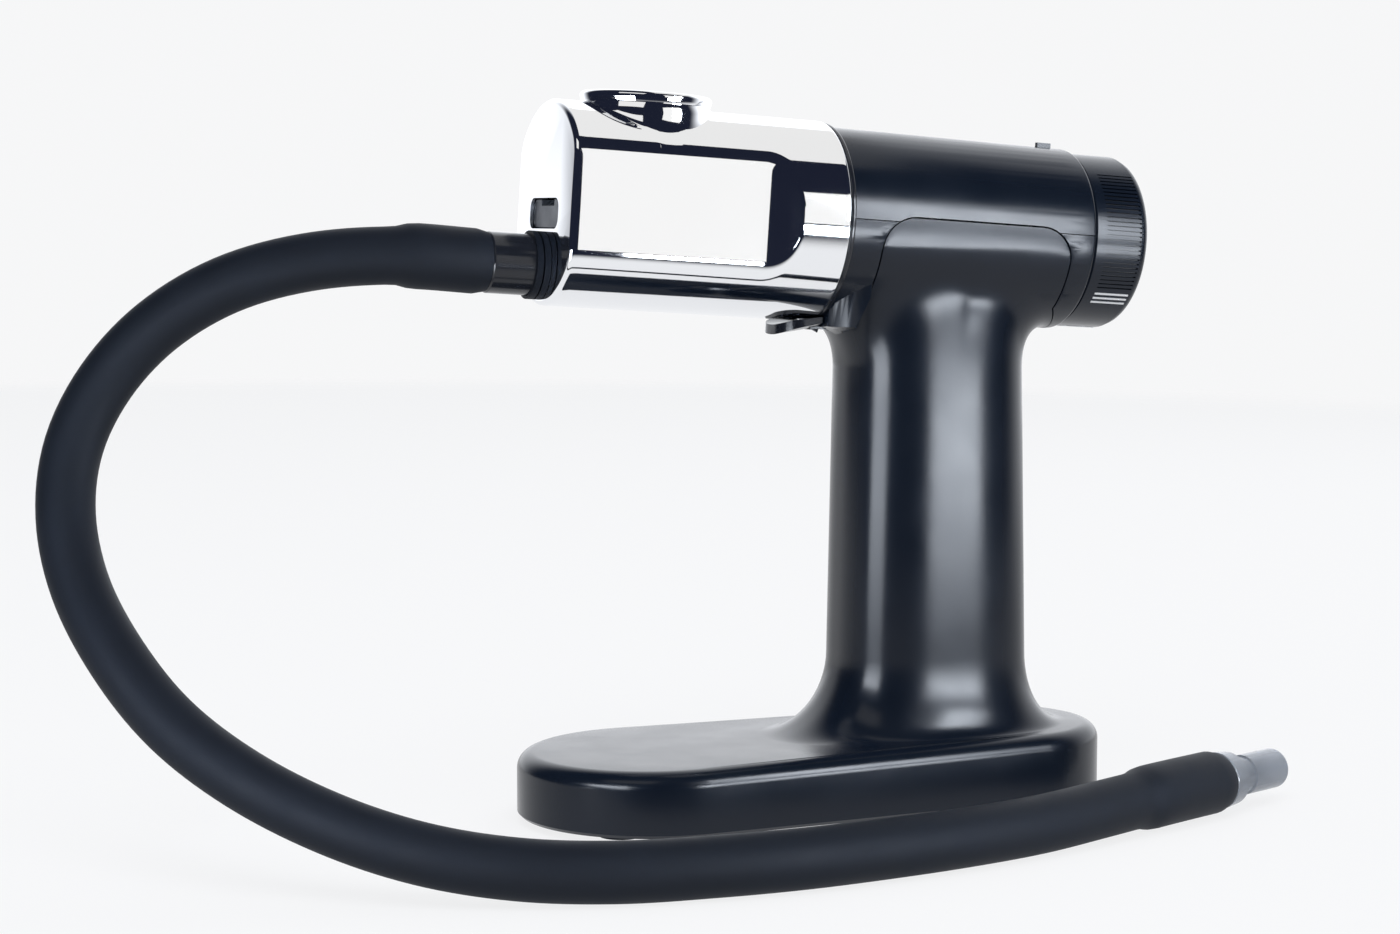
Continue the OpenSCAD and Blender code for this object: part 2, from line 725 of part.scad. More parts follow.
module speed_control() color("steelblue") in_tube() difference() {
    union() {
        translate([control_s, -control_w / 2, -control_h / 2 - 0.5])
            cube([control_t - seat_gap, control_w, control_h]);
        rod(control_shaft_d / 2 + 1.2, control_s + control_t - 1, rear_s - 0.2);
    }
    rod(control_shaft_d / 2 + run_gap, control_s + 1.5, rear_s + 1);
}

module control_shaft() color("silver") in_tube() difference() {
    rod(control_shaft_d / 2, control_s + 1.6, dial_end_s - 3.6);
    translate([dial_s + 3, -control_shaft_d, control_shaft_d / 2 - 0.8])
        cube([dial_len, 2 * control_shaft_d, control_shaft_d]);
}

module control_nut() color("silver") in_tube()
    translate([rear_plate_s + plate_rear_t + 0.05, 0, 0]) rotate([0, 90, 0]) difference() {
        cylinder(r = control_shaft_d / 2 + 2.8, h = 1, $fn = 6);
        translate([0, 0, -1]) cylinder(r = control_shaft_d / 2 + 1.2 + run_gap, h = 4, $fn = round_fn);
    }

module rear_plate() color("dimgray") in_tube()
    pipe(shell_in_r - seat_gap, control_shaft_d / 2 + 1.2 + run_gap,
         rear_plate_s, rear_plate_s + plate_rear_t, fine);

// Outline of the ribbed stretch: grooves in the two side sectors.
module rib_outline() {
    groove = rib_pitch * 0.45;
    count = floor((rib_to - rib_from) / rib_pitch);
    difference() {
        circle(dial_r, $fn = fine);
        for (side = [-1, 1], k = [0:count - 1])
            rotate(side * (rib_from + (k + 0.5) * rib_pitch))
                translate([0, dial_r]) polygon([
                    [-dial_r * sin(groove / 2), 1], [-dial_r * sin(groove / 3), -rib_depth],
                    [dial_r * sin(groove / 3), -rib_depth], [dial_r * sin(groove / 2), 1]
                ]);
    }
}

module speed_dial() color("black") in_tube() {
    edge = 2.4;
    edge_r = dial_r - 0.3;
    cap = 2.6;
    hub = control_shaft_d / 2 + 2.2;
    rib_end = ribs_s + rib_len;
    difference() {
        union() {
            turned([[0, dial_s], [dial_r - 0.4, dial_s], [dial_r, dial_s + 0.4],
                    [dial_r, ribs_s], [0, ribs_s]]);
            along_tube(ribs_s, rib_end) rib_outline();
            turned(concat(
                [[0, rib_end], [dial_r, rib_end]],
                arc([edge_r - edge, dial_end_s - edge], edge, 0, 90),
                [[0, dial_end_s]]
            ));
        }
        difference() {
            rod(dial_r - 2.6, dial_s - 1, dial_end_s - cap, fine);
            rod(hub, dial_s + 2.2, dial_end_s);
        }
        difference() {
            rod(control_shaft_d / 2 + run_gap, dial_s - 1, dial_end_s - cap - 0.6);
            translate([dial_s + 3.2, -control_shaft_d, control_shaft_d / 2 - 0.7])
                cube([dial_len, 2 * control_shaft_d, control_shaft_d]);
        }
    }
}

// Painted lines: one, two and three strokes for the three speeds.
module dial_marks() color("white") in_tube() {
    strokes = [[rib_to + 6, 3], [180, 2], [235, 1]];
    for (mark = strokes, k = [0:mark[1] - 1]) {
        a = mark[0] + (k - (mark[1] - 1) / 2) * mark_gap;
        rotate([a, 0, 0]) rotate([0, 90, 0]) rotate([0, 0, 180 - mark_w / 2])
            translate([0, 0, ribs_s]) rotate_extrude(angle = mark_w, $fn = fine)
                translate([dial_r + 0.01, 0]) square([mark_t, rib_len - mark_short]);
    }
}

// The pointer's block on top of the housing, grown outwards by more.
module pointer_block(more) {
    translate([pointer_s - more, -pointer_w / 2 - more, housing_r(pointer_s) - pointer_sink - more])
        cube([pointer_l + 2 * more, pointer_w + 2 * more, pointer_sink + pointer_rise + more]);
}

module dial_pointer() color("black") in_tube() pointer_block(0);

// ---------------------------------------------------------------- housing

module housing_body(inset) {
    edge = 0.9;
    r = housing_r(rear_s) - inset;
    turned(concat(
        [[0, bezel_s], [housing_r(bezel_s) - inset, bezel_s]],
        arc([r - edge, rear_s - edge], edge, 0, 90, 5),
        [[0, rear_s]]
    ));
}

module housing_tube() {
    difference() {
        housing_body(0);
        rod(shell_in_r, bezel_s - 1, rear_s + 1, fine);
    }
}

// Bosses for the screws that hold the two shells together.
boss_places = [[saddle_s0 + 5, 1], [saddle_s0 + 5, -1], [saddle_s1 - 6, 1], [saddle_s1 - 6, -1]];
boss_r = 2.3;
boss_y = shell_in_r - 4.2;
boss_top_z = sqrt(pow(shell_in_r, 2) - pow(boss_y, 2)) + 0.8;
screw_seat_z = head_t + 0.2 - sqrt(pow(shell_in_r - seat_gap, 2) - pow(boss_y + head_r, 2));

module shell_bosses(from_z, to_z) {
    for (place = boss_places) translate([place[0], place[1] * boss_y, from_z]) difference() {
        cylinder(r = boss_r, h = to_z - from_z, $fn = 32);
        translate([0, 0, -1]) cylinder(r = screw_r + run_gap, h = to_z - from_z + 2, $fn = 24);
    }
}

module housing_upper() color("black") in_tube() {
    split = parting_rise + seam_w / 4;
    intersection() {
        union() {
            difference() {
                housing_tube();
                saddle_prism(seam_w);
                pointer_block(seat_gap / 2);
            }
            intersection() {
                rod(shell_in_r + 0.5, bezel_s, rear_s, fine);
                shell_bosses(split, boss_top_z);
            }
        }
        translate([bezel_s - 1, -barrel_r, split]) cube([rear_s - bezel_s + 2, barrel_d, barrel_d]);
    }
}

// Side view of the saddle, grown outwards by more. It widens below the housing.
module saddle_prism(more) {
    c = saddle_corner + more;
    s0 = saddle_s0 - more;
    s1 = saddle_s1 + more;
    z1 = saddle_top + more;
    low = -2 * barrel_r;
    rotate([90, 0, 0]) translate([0, 0, -barrel_r - 5]) linear_extrude(barrel_d + 10) polygon(concat(
        [[s0, saddle_flare_z], [s0 - 3.3, saddle_flare_z - 10], [s0 - 3.3, low],
         [s1 + 4.5, low], [s1 + 4.5, saddle_flare_z - 5], [s1, saddle_flare_z]],
        arc([s1 - c, z1 - c], c, 0, 90), arc([s0 + c, z1 - c], c, 90, 180)
    ));
}

// The chin: the front of the neck's flare, moulded on the housing's lower shell.
module chin() {
    intersection() {
        rotate([0, -tube_tilt, 0]) translate([-grip_x, 0, -axis_z]) loft(neck_rings());
        translate([bezel_s, -barrel_r, neck_cut_z])
            cube([saddle_s0 - bezel_s, barrel_d, -neck_cut_z - shell_in_r / 2]);
    }
}

module housing_lower() color("black") in_tube() {
    split = parting_rise - seam_w / 4;
    low = -2 * barrel_r;
    pocket_top = pin_z + lever_hub_r + slide_gap;
    difference() {
        union() {
            difference() {
                union() {
                    housing_tube();
                    chin();
                }
                saddle_prism(seam_w);
            }
            difference() {
                rod(shell_in_r + 0.5, saddle_s0 - 2, saddle_s1 + 2, fine);
                difference() {
                    saddle_prism(seam_w);
                    rod(shell_in_r - seat_gap, bezel_s, rear_s, fine);
                }
            }
        }
        difference() {
            rod(shell_in_r, bezel_s - 1, rear_s + 1, fine);
            difference() {
                rod(shell_in_r + 1, saddle_s0 - 2, saddle_s1 + 2, fine);
                rod(backing_in_r, saddle_s0 - 3, saddle_s1 + 3, fine);
            }
            shell_bosses(low, split);
        }
        translate([bezel_s - 1, -barrel_r, split]) cube([rear_s - bezel_s + 2, barrel_d, barrel_d]);
        translate([bezel_s - 1, -chin_pocket_w / 2, low])
            cube([pin_s + lever_hub_r + slide_gap - bezel_s + 1, chin_pocket_w, pocket_top - low]);
        translate([pin_s, 0, pin_z]) rotate([90, 0, 0])
            cylinder(r = lever_pin_d / 2, h = pin_len, center = true, $fn = round_fn);
        translate([wire_pass_s, 0, -barrel_r])
            cylinder(r = wire_pass_r, h = barrel_r, $fn = round_fn);
        for (s = saddle_screw_places) translate([s, 0, -barrel_r])
            cylinder(r = saddle_screw_r + run_gap, h = barrel_r, $fn = 24);
        for (place = boss_places) translate([place[0], place[1] * boss_y, low]) {
            cylinder(r = head_r + 0.1, h = screw_seat_z - low, $fn = 32);
            cylinder(r = screw_r + run_gap, h = split - low + 1, $fn = 24);
        }
    }
}

module housing_screws() color("silver") in_tube()
    for (place = boss_places) translate([place[0], place[1] * boss_y, screw_seat_z]) {
        translate([0, 0, -head_t]) cylinder(r = head_r, h = head_t, $fn = 32);
        translate([0, 0, -0.2]) cylinder(r = screw_r, h = parting_rise + 9 - screw_seat_z, $fn = 24);
    }

// ---------------------------------------------------------------- release lever

// Inside radius of the lever's blade at s: it leans away from the barrel.
function blade_r(s) = barrel_r + lever_gap + (blade_s0 - s) * tan(lever_lean);

// Outside radius of the blade at s: it thickens towards its tip.
function blade_out(s) = blade_r(s) + lever_root_t
    + (lever_t - lever_root_t) * (blade_s0 - s) / (blade_s0 - blade_s1);

// A tab that hugs the barrel's underside, on a hub behind the bezel.
module release_lever() color("black") in_tube() {
    corner = 5.5;
    half = lever_w / 2;
    spring_gap = 3;
    difference() {
        union() {
            intersection() {
                turned([
                    [blade_r(blade_s0), blade_s0], [blade_out(blade_s0), blade_s0],
                    [blade_out(blade_s1), blade_s1], [blade_r(blade_s1), blade_s1]
                ]);
                translate([0, 0, -2 * barrel_r]) linear_extrude(barrel_d - 5) polygon(concat(
                    [[blade_s0 + 1, half]],
                    arc([blade_s1 + corner, half - 0.6 - corner], corner, 90, 180),
                    arc([blade_s1 + corner, corner + 0.6 - half], corner, 180, 270),
                    [[blade_s0 + 1, -half]]
                ));
            }
            translate([0, lever_arm_w / 2, 0]) rotate([90, 0, 0]) linear_extrude(lever_arm_w) {
                translate([pin_s, pin_z]) circle(lever_hub_r, $fn = round_fn);
                polygon([
                    [pin_s, pin_z - lever_hub_r], [pin_s, pin_z + lever_hub_r],
                    [bezel_s + 0.5, -barrel_r - 0.2], [blade_s0 - 1.5, -blade_r(blade_s0 - 1.5)],
                    [blade_s0 - 1.5, -blade_out(blade_s0 - 1.5)],
                    [blade_s0, -blade_out(blade_s0)]
                ]);
            }
        }
        translate([pin_s, 0, pin_z]) rotate([90, 0, 0]) cylinder(
            r = lever_pin_d / 2 + run_gap, h = lever_arm_w + 2, center = true, $fn = round_fn);
        translate([pin_s - lever_hub_r - 0.4, -spring_gap / 2, pin_z - 4])
            cube([8, spring_gap, 8]);
    }
}

module lever_pin() color("silver") in_tube() translate([pin_s, 0, pin_z]) rotate([90, 0, 0])
    cylinder(r = lever_pin_d / 2, h = pin_len - 0.4, center = true, $fn = round_fn);

// Turns of the return spring, round the pin in the lever's slot.
module lever_spring() color("gray") in_tube() translate([pin_s, 0, pin_z]) rotate([90, 0, 0])
    for (k = [-1:1]) translate([0, 0, 0.8 * k]) rotate_extrude($fn = 32)
        translate([lever_pin_d / 2 + 0.45, 0]) circle(0.3, $fn = 16);

// ---------------------------------------------------------------- stand

function blend(a, b, u) = a + (b - a) * u;
// A rounded plan outline: a superellipse with its middle at x = c.
function oval(c, a, b, n) = [for (k = [0:ring_n - 1]) let (t = 360 * k / ring_n)
    [c + a * sign(cos(t)) * pow(abs(cos(t)), 2 / n), b * sign(sin(t)) * pow(abs(sin(t)), 2 / n)]];
// The base's plan outline, inset from its wall: two arcs and their tangents.
function base_plan(inset) =
    let (r0 = base_front_w / 2 - inset, r1 = base_rear_w / 2 - inset,
         lean = asin((r0 - r1) / (rear_c - front_c)), q = ring_n / 4)
    concat(
        [for (k = [0:q]) let (a = blend(0, 90 - lean, k / q))
            [rear_c + r1 * cos(a), r1 * sin(a)]],
        [for (k = [1:2 * q - 1]) let (a = blend(90 - lean, 270 + lean, k / (2 * q)))
            [front_c + r0 * cos(a), r0 * sin(a)]],
        [for (k = [0:q - 1]) let (a = blend(270 + lean, 360, k / q))
            [rear_c + r1 * cos(a), r1 * sin(a)]]
    );
function base_top(x) = blend(base_front_h, base_rear_h,
    (x - grip_x + base_ahead) / (base_ahead + base_behind));
function on_top(plan, drop) = [for (p = plan) [p[0], p[1], base_top(p[0]) - drop]];
function at_height(plan, z, slope = 0) =
    [for (p = plan) [p[0], p[1], z - (p[0] - grip_x) * slope]];
function mix(p, q, u) = [for (k = [0:len(p) - 1]) blend(p[k], q[k], u)];

grip_n = 2.6;
neck_n = 3.2;
flare_a = 39;
flare_b = base_rear_w / 2 - base_edge_r + 1.5;
neck_h = 9.3;
neck_top_drop = 9;
grip_top_plan = oval(grip_x, grip_top_l / 2, grip_w / 2, grip_n);

// From the base wall over its rounded edge and up the flare to the top of the grip.
function base_rings() =
    let (
        edge = base_edge_r,
        plan = base_plan(edge),
        foot_plan = oval(grip_x - 3, flare_a, flare_b, 2.2),
        grip_low = oval(grip_x, grip_foot_l / 2, grip_w / 2, grip_n)
    )
    concat(
        [at_height(base_plan(0.8), foot_h + 0.05), at_height(base_plan(0), foot_h + 0.85)],
        [for (i = [0:5]) let (a = 15 * i)
            on_top(base_plan(edge * (1 - cos(a))), edge * (1 - sin(a)))],
        [on_top(base_plan(edge), 0)],
        [for (u = [0.35, 0.7]) mix(on_top(plan, 0), on_top(foot_plan, -0.2), u)],
        [for (i = [0:7]) let (a = 90 * i / 7)
            mix(on_top(mix(foot_plan, grip_low, sin(a)), -0.2),
                at_height(mix(foot_plan, grip_low, sin(a)), flare_top_z), 1 - cos(a))],
        [for (i = [1:4]) at_height(mix(grip_low, grip_top_plan, pow(i / 5, 0.9)),
            blend(flare_top_z, neck_z, i / 5))]
    );

// From the top of the grip, flaring out to meet the round housing.
function neck_rings() =
    let (
        centre = grip_x + (neck_rear_r - neck_front_r) / 2,
        half = grip_top_l / 2 + (neck_front_r + neck_rear_r) / 2,
        side = grip_w / 2 + 0.7,
        neck_plan = oval(centre, half, side, neck_n),
        top_side = sqrt(pow(housing_r(0), 2) - pow(neck_top_drop, 2)),
        slope = tan(tube_tilt)
    )
    concat(
        [at_height(grip_top_plan, neck_z)],
        [for (i = [1:6]) let (a = 15 * i)
            at_height(mix(grip_top_plan, neck_plan, 1 - cos(a)),
                      neck_z + neck_h * sin(a), 0.4 * slope * (1 - cos(a)))],
        [for (i = [1:3]) at_height(oval(centre, half, blend(side, top_side, i / 3), neck_n),
            blend(neck_z + neck_h, axis_z - neck_top_drop, i / 3), slope * blend(0.4, 1, i / 3))]
    );

module loft(rings) {
    last = len(rings) - 1;
    points = [for (r = rings) each r];
    walls = [for (i = [0:last - 1], k = [0:ring_n - 1])
        let (a = i * ring_n + k, b = i * ring_n + (k + 1) % ring_n)
        each [[a, a + ring_n, b + ring_n], [a, b + ring_n, b]]];
    caps = [[for (k = [0:ring_n - 1]) k],
            [for (k = [0:ring_n - 1]) last * ring_n + ring_n - 1 - k]];
    polyhedron(points, concat(walls, caps), convexity = 8);
}

base_screw_inset = 7;
base_screw_places = [for (side = [1, -1])
    each [[front_c + 2, side * (base_front_w / 2 - base_screw_inset)],
          [rear_c + 2, side * (base_rear_w / 2 - base_screw_inset)]]];
foot_out = 14;
foot_front_y = 16;
foot_rear_y = 9;

module stand_shell() color("black") {
    difference() {
        union() {
            difference() {
                loft(concat(base_rings(), neck_rings()));
                in_tube() difference() {
                    translate([-2 * barrel_d, -barrel_d, neck_cut_z])
                        cube([4 * barrel_d, 2 * barrel_d, barrel_d]);
                    saddle_prism(0);
                }
            }
            in_tube() intersection() {
                saddle_prism(0);
                housing_body(0);
            }
        }
        in_tube() rod(housing_r1 - shell_t + seat_gap, rim_s - 20, rear_s + 20, fine);
        difference() {
            translate([0, 0, foot_h - 1]) linear_extrude(base_front_h - base_wall - foot_h + 1)
                polygon(base_plan(base_wall));
            for (p = base_screw_places) translate([p[0], p[1], plate_z])
                cylinder(r = 2.6, h = base_front_h, $fn = 32);
        }
        for (p = base_screw_places) translate([p[0], p[1], foot_h - 1])
            cylinder(r = screw_r + run_gap, h = 11, $fn = 24);
        translate([0, 0, foot_h]) linear_extrude(well_top - foot_h)
            polygon(oval(grip_x, well_a, well_b, 3));
        in_tube() translate([wire_pass_s, 0, well_top - axis_z - 5])
            cylinder(r = wire_pass_r, h = axis_z - well_top + 5, $fn = round_fn);
        in_tube() for (s = saddle_screw_places) translate([s, 0, -barrel_r - saddle_screw_under - 1])
            cylinder(r = saddle_screw_r + run_gap, h = 2 * saddle_screw_under, $fn = 24);
    }
}

module saddle_screws() color("silver") in_tube()
    for (s = saddle_screw_places) translate([s, 0, -barrel_r - saddle_screw_under]) {
        seat = barrel_r + saddle_screw_under - backing_in_r;
        cylinder(r = saddle_screw_r, h = seat + 0.5, $fn = 24);
        translate([0, 0, seat + 0.15])
            cylinder(r = screw_r * 2.6, h = 1.6, $fn = 32);
    }

// ---------------------------------------------------------------- base

module base_plate() color("dimgray") difference() {
    translate([0, 0, foot_h]) linear_extrude(plate_t)
        polygon(base_plan(base_wall + seat_gap));
    translate([door_x0 - hinge_r - slide_gap, -door_w / 2 - slide_gap, foot_h - 1])
        cube([door_l + hinge_r + 2 * slide_gap, door_w + 2 * slide_gap, plate_t + 2]);
    translate([door_x0, 0, hinge_z]) rotate([90, 0, 0])
        cylinder(r = hinge_pin_r, h = door_w + 2 * hinge_pin_over, center = true, $fn = 24);
    for (p = base_screw_places) translate([p[0], p[1], foot_h - 1]) {
        cylinder(r = screw_r + 0.2, h = plate_t + 2, $fn = 24);
        cylinder(r = head_r + 0.2, h = 2, $fn = 32);
    }
}

module base_screws() color("silver")
    for (p = base_screw_places) translate([p[0], p[1], foot_h + 0.2]) {
        cylinder(r = head_r, h = 0.8, $fn = 32);
        cylinder(r = screw_r, h = 8, $fn = 24);
    }

module rubber_feet() color("dimgray")
    for (side = [1, -1], p = [[front_c - foot_out, foot_front_y], [rear_c + foot_out, foot_rear_y]])
        translate([p[0], side * p[1], 0]) cylinder(r = foot_d / 2, h = foot_h, $fn = round_fn);

// ---------------------------------------------------------------- batteries

module at_cells() {
    for (i = [-1, 1], j = [-1, 1])
        translate([grip_x + i * cell_pitch / 2, j * cell_pitch / 2, 0]) children();
}

module battery_sleeve() color("gray") difference() {
    translate([grip_x, 0, cell_z + 1]) linear_extrude(sleeve_top - cell_z - 1)
        rounded_rect(2 * sleeve_half, 2 * sleeve_half, 6.5);
    at_cells() translate([0, 0, cell_z]) cylinder(r = cell_hole_r, h = cell_top - cell_z + 1.4,
                                                   $fn = round_fn);
}

module battery_cells() color("goldenrod") at_cells() {
    translate([0, 0, cell_z]) cylinder(r = cell_r, h = cell_len - 1.2, $fn = round_fn);
    translate([0, 0, cell_z + cell_len - 1.3]) cylinder(r = 2.7, h = 1.3, $fn = 32);
}

module top_contacts() color("silver") at_cells()
    translate([0, 0, cell_top + 0.1]) cylinder(r = 4.5, h = 0.6, $fn = 32);

module battery_door() color("dimgray") {
    t = plate_t - 0.2;
    difference() {
        union() {
            translate([door_x0, -door_w / 2, hinge_z - t / 2]) cube([door_l, door_w, t]);
            translate([door_x0, 0, hinge_z]) rotate([90, 0, 0])
                cylinder(r = hinge_r, h = door_w, center = true, $fn = round_fn);
        }
        translate([door_x0, 0, hinge_z]) rotate([90, 0, 0])
            cylinder(r = hinge_pin_r + run_gap, h = door_w + 2, center = true, $fn = 24);
        for (k = [0:2]) translate([door_x1 - 5 - 2 * k, -8, hinge_z - t / 2 - 0.5])
            cube([0.8, 16, 0.9]);
    }
}

module door_hinge_pin() color("silver") translate([door_x0, 0, hinge_z]) rotate([90, 0, 0])
    cylinder(r = hinge_pin_r, h = door_w + 2 * hinge_pin_over - 0.6, center = true, $fn = 24);

// Coil springs on the door that press on the cells' lower ends.
module door_springs() color("silver") {
    turns = 3;
    steps = 10;
    wire = 0.35;
    z0 = hinge_z + plate_t / 2 - 0.1 + wire;
    z1 = cell_z - 0.3 - wire;
    n = turns * steps;
    at_cells() sweep(
        [for (i = [0:n]) [blend(4, 2.6, i / n) * cos(360 * i / steps),
                          blend(4, 2.6, i / n) * sin(360 * i / steps), blend(z0, z1, i / n)]],
        [for (i = [0:n]) wire], 5);
}

module wires() color("firebrick") {
    n = 3 * (len(wire_route) - 1);
    path = [for (i = [0:n]) route_at(wire_route, i / 3)];
    for (side = [-1, 1]) translate([grip_x + 3, side * 1.4, 0])
        sweep(path, [for (i = [0:n]) wire_d / 2], 8);
}

// ---------------------------------------------------------------- hose

hose_end = len(hose_route) - 1;
cuff_front = 0.85;
cuff_rear = hose_end - 1.35;
hose_mid = 42;
hose_stops = concat(
    [0, 0.45, cuff_front, cuff_front + 0.25],
    [for (i = [1:hose_mid - 1]) blend(cuff_front + 0.25, cuff_rear - 0.25, i / hose_mid)],
    [cuff_rear - 0.25, cuff_rear, hose_end - 0.9, hose_end - 0.45, hose_end]
);
function in_cuff(t) = t <= cuff_front || t >= cuff_rear;

module hose() color("black") hollow_sweep(
    [for (t = hose_stops) route_at(hose_route, t)],
    [for (t = hose_stops) in_cuff(t) ? cuff_d / 2 : hose_d / 2],
    [for (t = hose_stops) in_cuff(t) ? cuff_bore_r : hose_bore_d / 2],
    hose_sides);

// The hose's far end: +X leads out of it.
module at_hose_end() {
    h = unit(hose_route[hose_end] - hose_route[hose_end - 1]);
    translate(hose_route[hose_end]) rotate([0, -asin(h[2]), atan2(h[1], h[0])]) children();
}

module hose_tip() color("lightgray") at_hose_end() {
    bore = smoke_bore_d / 2;
    barb = barb_d / 2;
    r = tip_d / 2;
    collar_l = 6;
    neck_l = 5;
    turned(concat(
        [[bore, -barb_len], [barb - 1.2, -barb_len]],
        [for (k = [0:2]) let (s = -barb_len + 2 + 3.6 * k)
            each [[barb, s], [barb, s + 0.8], [barb - 0.7, s + 0.8]]],
        [[barb - 0.7, 0.1], [cuff_d / 2 - 0.9, 0.1], [cuff_d / 2 - 0.6, 0.6],
         [cuff_d / 2 - 1, collar_l - 0.8], [cuff_d / 2 - 1.8, collar_l],
         [r - 0.35, collar_l + 1.2], [r - 0.35, collar_l + neck_l - 0.4], [r, collar_l + neck_l]],
        arc([r - 1.2, tip_len - 1.6], 1.2, 0, 60, 4),
        [[bore + 0.2, tip_len], [bore, tip_len - 0.4]]
    ), round_fn);
}

// ---------------------------------------------------------------- drawing

barrel();
burn_bowl();
bowl_screen();
bowl_gasket();
ash_tray();
smoke_duct();
smoke_spigot();
spigot_seals();
barrel_seal();
front_bezel();
fan_nose();
impeller();
motor();
motor_end_cap();
motor_shaft();
motor_bracket();
motor_screws();
bracket_screws();
control_board();
speed_control();
control_shaft();
control_nut();
rear_plate();
speed_dial();
dial_marks();
dial_pointer();
housing_upper();
housing_lower();
housing_screws();
release_lever();
lever_pin();
lever_spring();
stand_shell();
saddle_screws();
base_plate();
base_screws();
rubber_feet();
battery_sleeve();
battery_cells();
top_contacts();
battery_door();
door_hinge_pin();
door_springs();
wires();
hose();
hose_tip();
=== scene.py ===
# %% [markdown]
# # Dressing a handheld smoke infuser
# The working frame already exists: every piece at its real size, on the body that it moves
# with. This lesson gives those pieces the surfaces that people see. We load the frame first,
# because every place and size below is taken from it or from the same few dimensions.

# %% The frame
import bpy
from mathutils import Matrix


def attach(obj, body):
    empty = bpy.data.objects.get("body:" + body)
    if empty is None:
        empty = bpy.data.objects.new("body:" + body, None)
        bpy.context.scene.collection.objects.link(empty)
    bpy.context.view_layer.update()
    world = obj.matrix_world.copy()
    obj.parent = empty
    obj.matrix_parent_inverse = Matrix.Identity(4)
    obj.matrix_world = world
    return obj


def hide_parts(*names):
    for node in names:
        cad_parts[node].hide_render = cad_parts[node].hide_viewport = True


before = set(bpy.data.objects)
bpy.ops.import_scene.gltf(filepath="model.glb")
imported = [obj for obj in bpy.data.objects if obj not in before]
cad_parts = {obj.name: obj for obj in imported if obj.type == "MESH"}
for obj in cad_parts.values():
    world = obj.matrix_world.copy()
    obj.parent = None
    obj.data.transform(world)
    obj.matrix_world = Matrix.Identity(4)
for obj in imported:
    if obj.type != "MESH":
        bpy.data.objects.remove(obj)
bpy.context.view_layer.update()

# %% [markdown]
# ## Camera
# A long lens at about the barrel's height, turned some twenty degrees, keeps the tilted
# barrel and the flat base in one calm view. Degrees and millimetres are easier to think in
# than radians and metres, so the places are given in those and a short helper translates.

# %% Camera
import math
import bmesh
import bpy
from mathutils import Matrix, Vector

MM = 0.001
EYE = (-269.3, -629.9, 140.7)
EYE_TURN = 21.57
EYE_DIP = 4.93
LENS = 74.7


def mm(x, y, z):
    """A point given in millimetres, in Blender's metres."""
    return Vector((x, y, z)) * MM


def put_in_scene(thing):
    bpy.context.scene.collection.objects.link(thing)
    return thing


camera = put_in_scene(bpy.data.objects.new("camera", bpy.data.cameras.new("camera")))
camera.location = mm(*EYE)
camera.rotation_euler = (math.radians(90 - EYE_DIP), 0, math.radians(-EYE_TURN))
camera.data.lens = LENS
camera.data.sensor_width = 36
camera.data.clip_start = 0.01
bpy.context.scene.camera = camera
bpy.context.scene.view_settings.view_transform = "Standard"
print("camera: lens", LENS, "mm, dips", EYE_DIP, "degrees")

# %% [markdown]
# ## Materials
# Every finish is a Principled shader with two small pieces of wear and texture: noise that
# varies the roughness, as handling does, and a fine bump for the moulded or rubbed grain.
# Both read Object coordinates, so they stay on the surface when the piece moves.
# Three short helpers make nodes and set their sockets by name. A fourth builds the network
# of a finish, so that each finish below only chooses its numbers.


# %% Helpers for shader nodes
def set_sockets(node, **values):
    """Sets a node's sockets by name, with an underscore for each space."""
    for name, value in values.items():
        node.inputs[name.replace("_", " ")].default_value = value
    return node


def add_node(tree, kind, **values):
    return set_sockets(tree.nodes.new("ShaderNode" + kind), **values)


def new_material(name, **values):
    """A material and its Principled shader, whose sockets get the values."""
    material = bpy.data.materials.new(name)
    material.use_nodes = True
    return material, set_sockets(material.node_tree.nodes["Principled BSDF"], **values)


# %% A helper for finishes
CLOUD_LOW, CLOUD_HIGH = 0.3, 0.7
SMOOTHEST = 0.02


def finish(name, colour, rough, metallic=0.0, vary=0.05, patch=9.0, grain=0.35, depth=0.02,
           tint=0.0, **values):
    """A procedural finish. patch is the size of its clouds and grain that of the bump, both
    in millimetres. The clouds vary the roughness by vary either way and the colour by the
    share tint, and depth is the bump's height in millimetres."""
    material, shader = new_material(name, Metallic=metallic, **values)
    tree, link = material.node_tree, material.node_tree.links.new
    place = add_node(tree, "TexCoord")

    clouds = add_node(tree, "TexNoise", Scale=1 / (patch * MM), Detail=3)
    spread = add_node(tree, "MapRange", From_Min=CLOUD_LOW, From_Max=CLOUD_HIGH,
                      To_Min=max(rough - vary, SMOOTHEST), To_Max=rough + vary)
    link(place.outputs["Object"], clouds.inputs["Vector"])
    link(clouds.outputs["Fac"], spread.inputs["Value"])
    link(spread.outputs["Result"], shader.inputs["Roughness"])

    fine = add_node(tree, "TexNoise", Scale=1 / (grain * MM), Detail=2)
    bump = add_node(tree, "Bump", Strength=1, Distance=depth * MM)
    link(place.outputs["Object"], fine.inputs["Vector"])
    link(fine.outputs["Fac"], bump.inputs["Height"])
    link(bump.outputs["Normal"], shader.inputs["Normal"])

    mix = add_node(tree, "Mix")
    mix.data_type = "RGBA"
    set_sockets(mix, A=(*[c * (1 - tint) for c in colour], 1),
                B=(*[min(c * (1 + tint), 1) for c in colour], 1))
    link(clouds.outputs["Fac"], mix.inputs["Factor"])
    link(mix.outputs["Result"], shader.inputs["Base Color"])
    return material
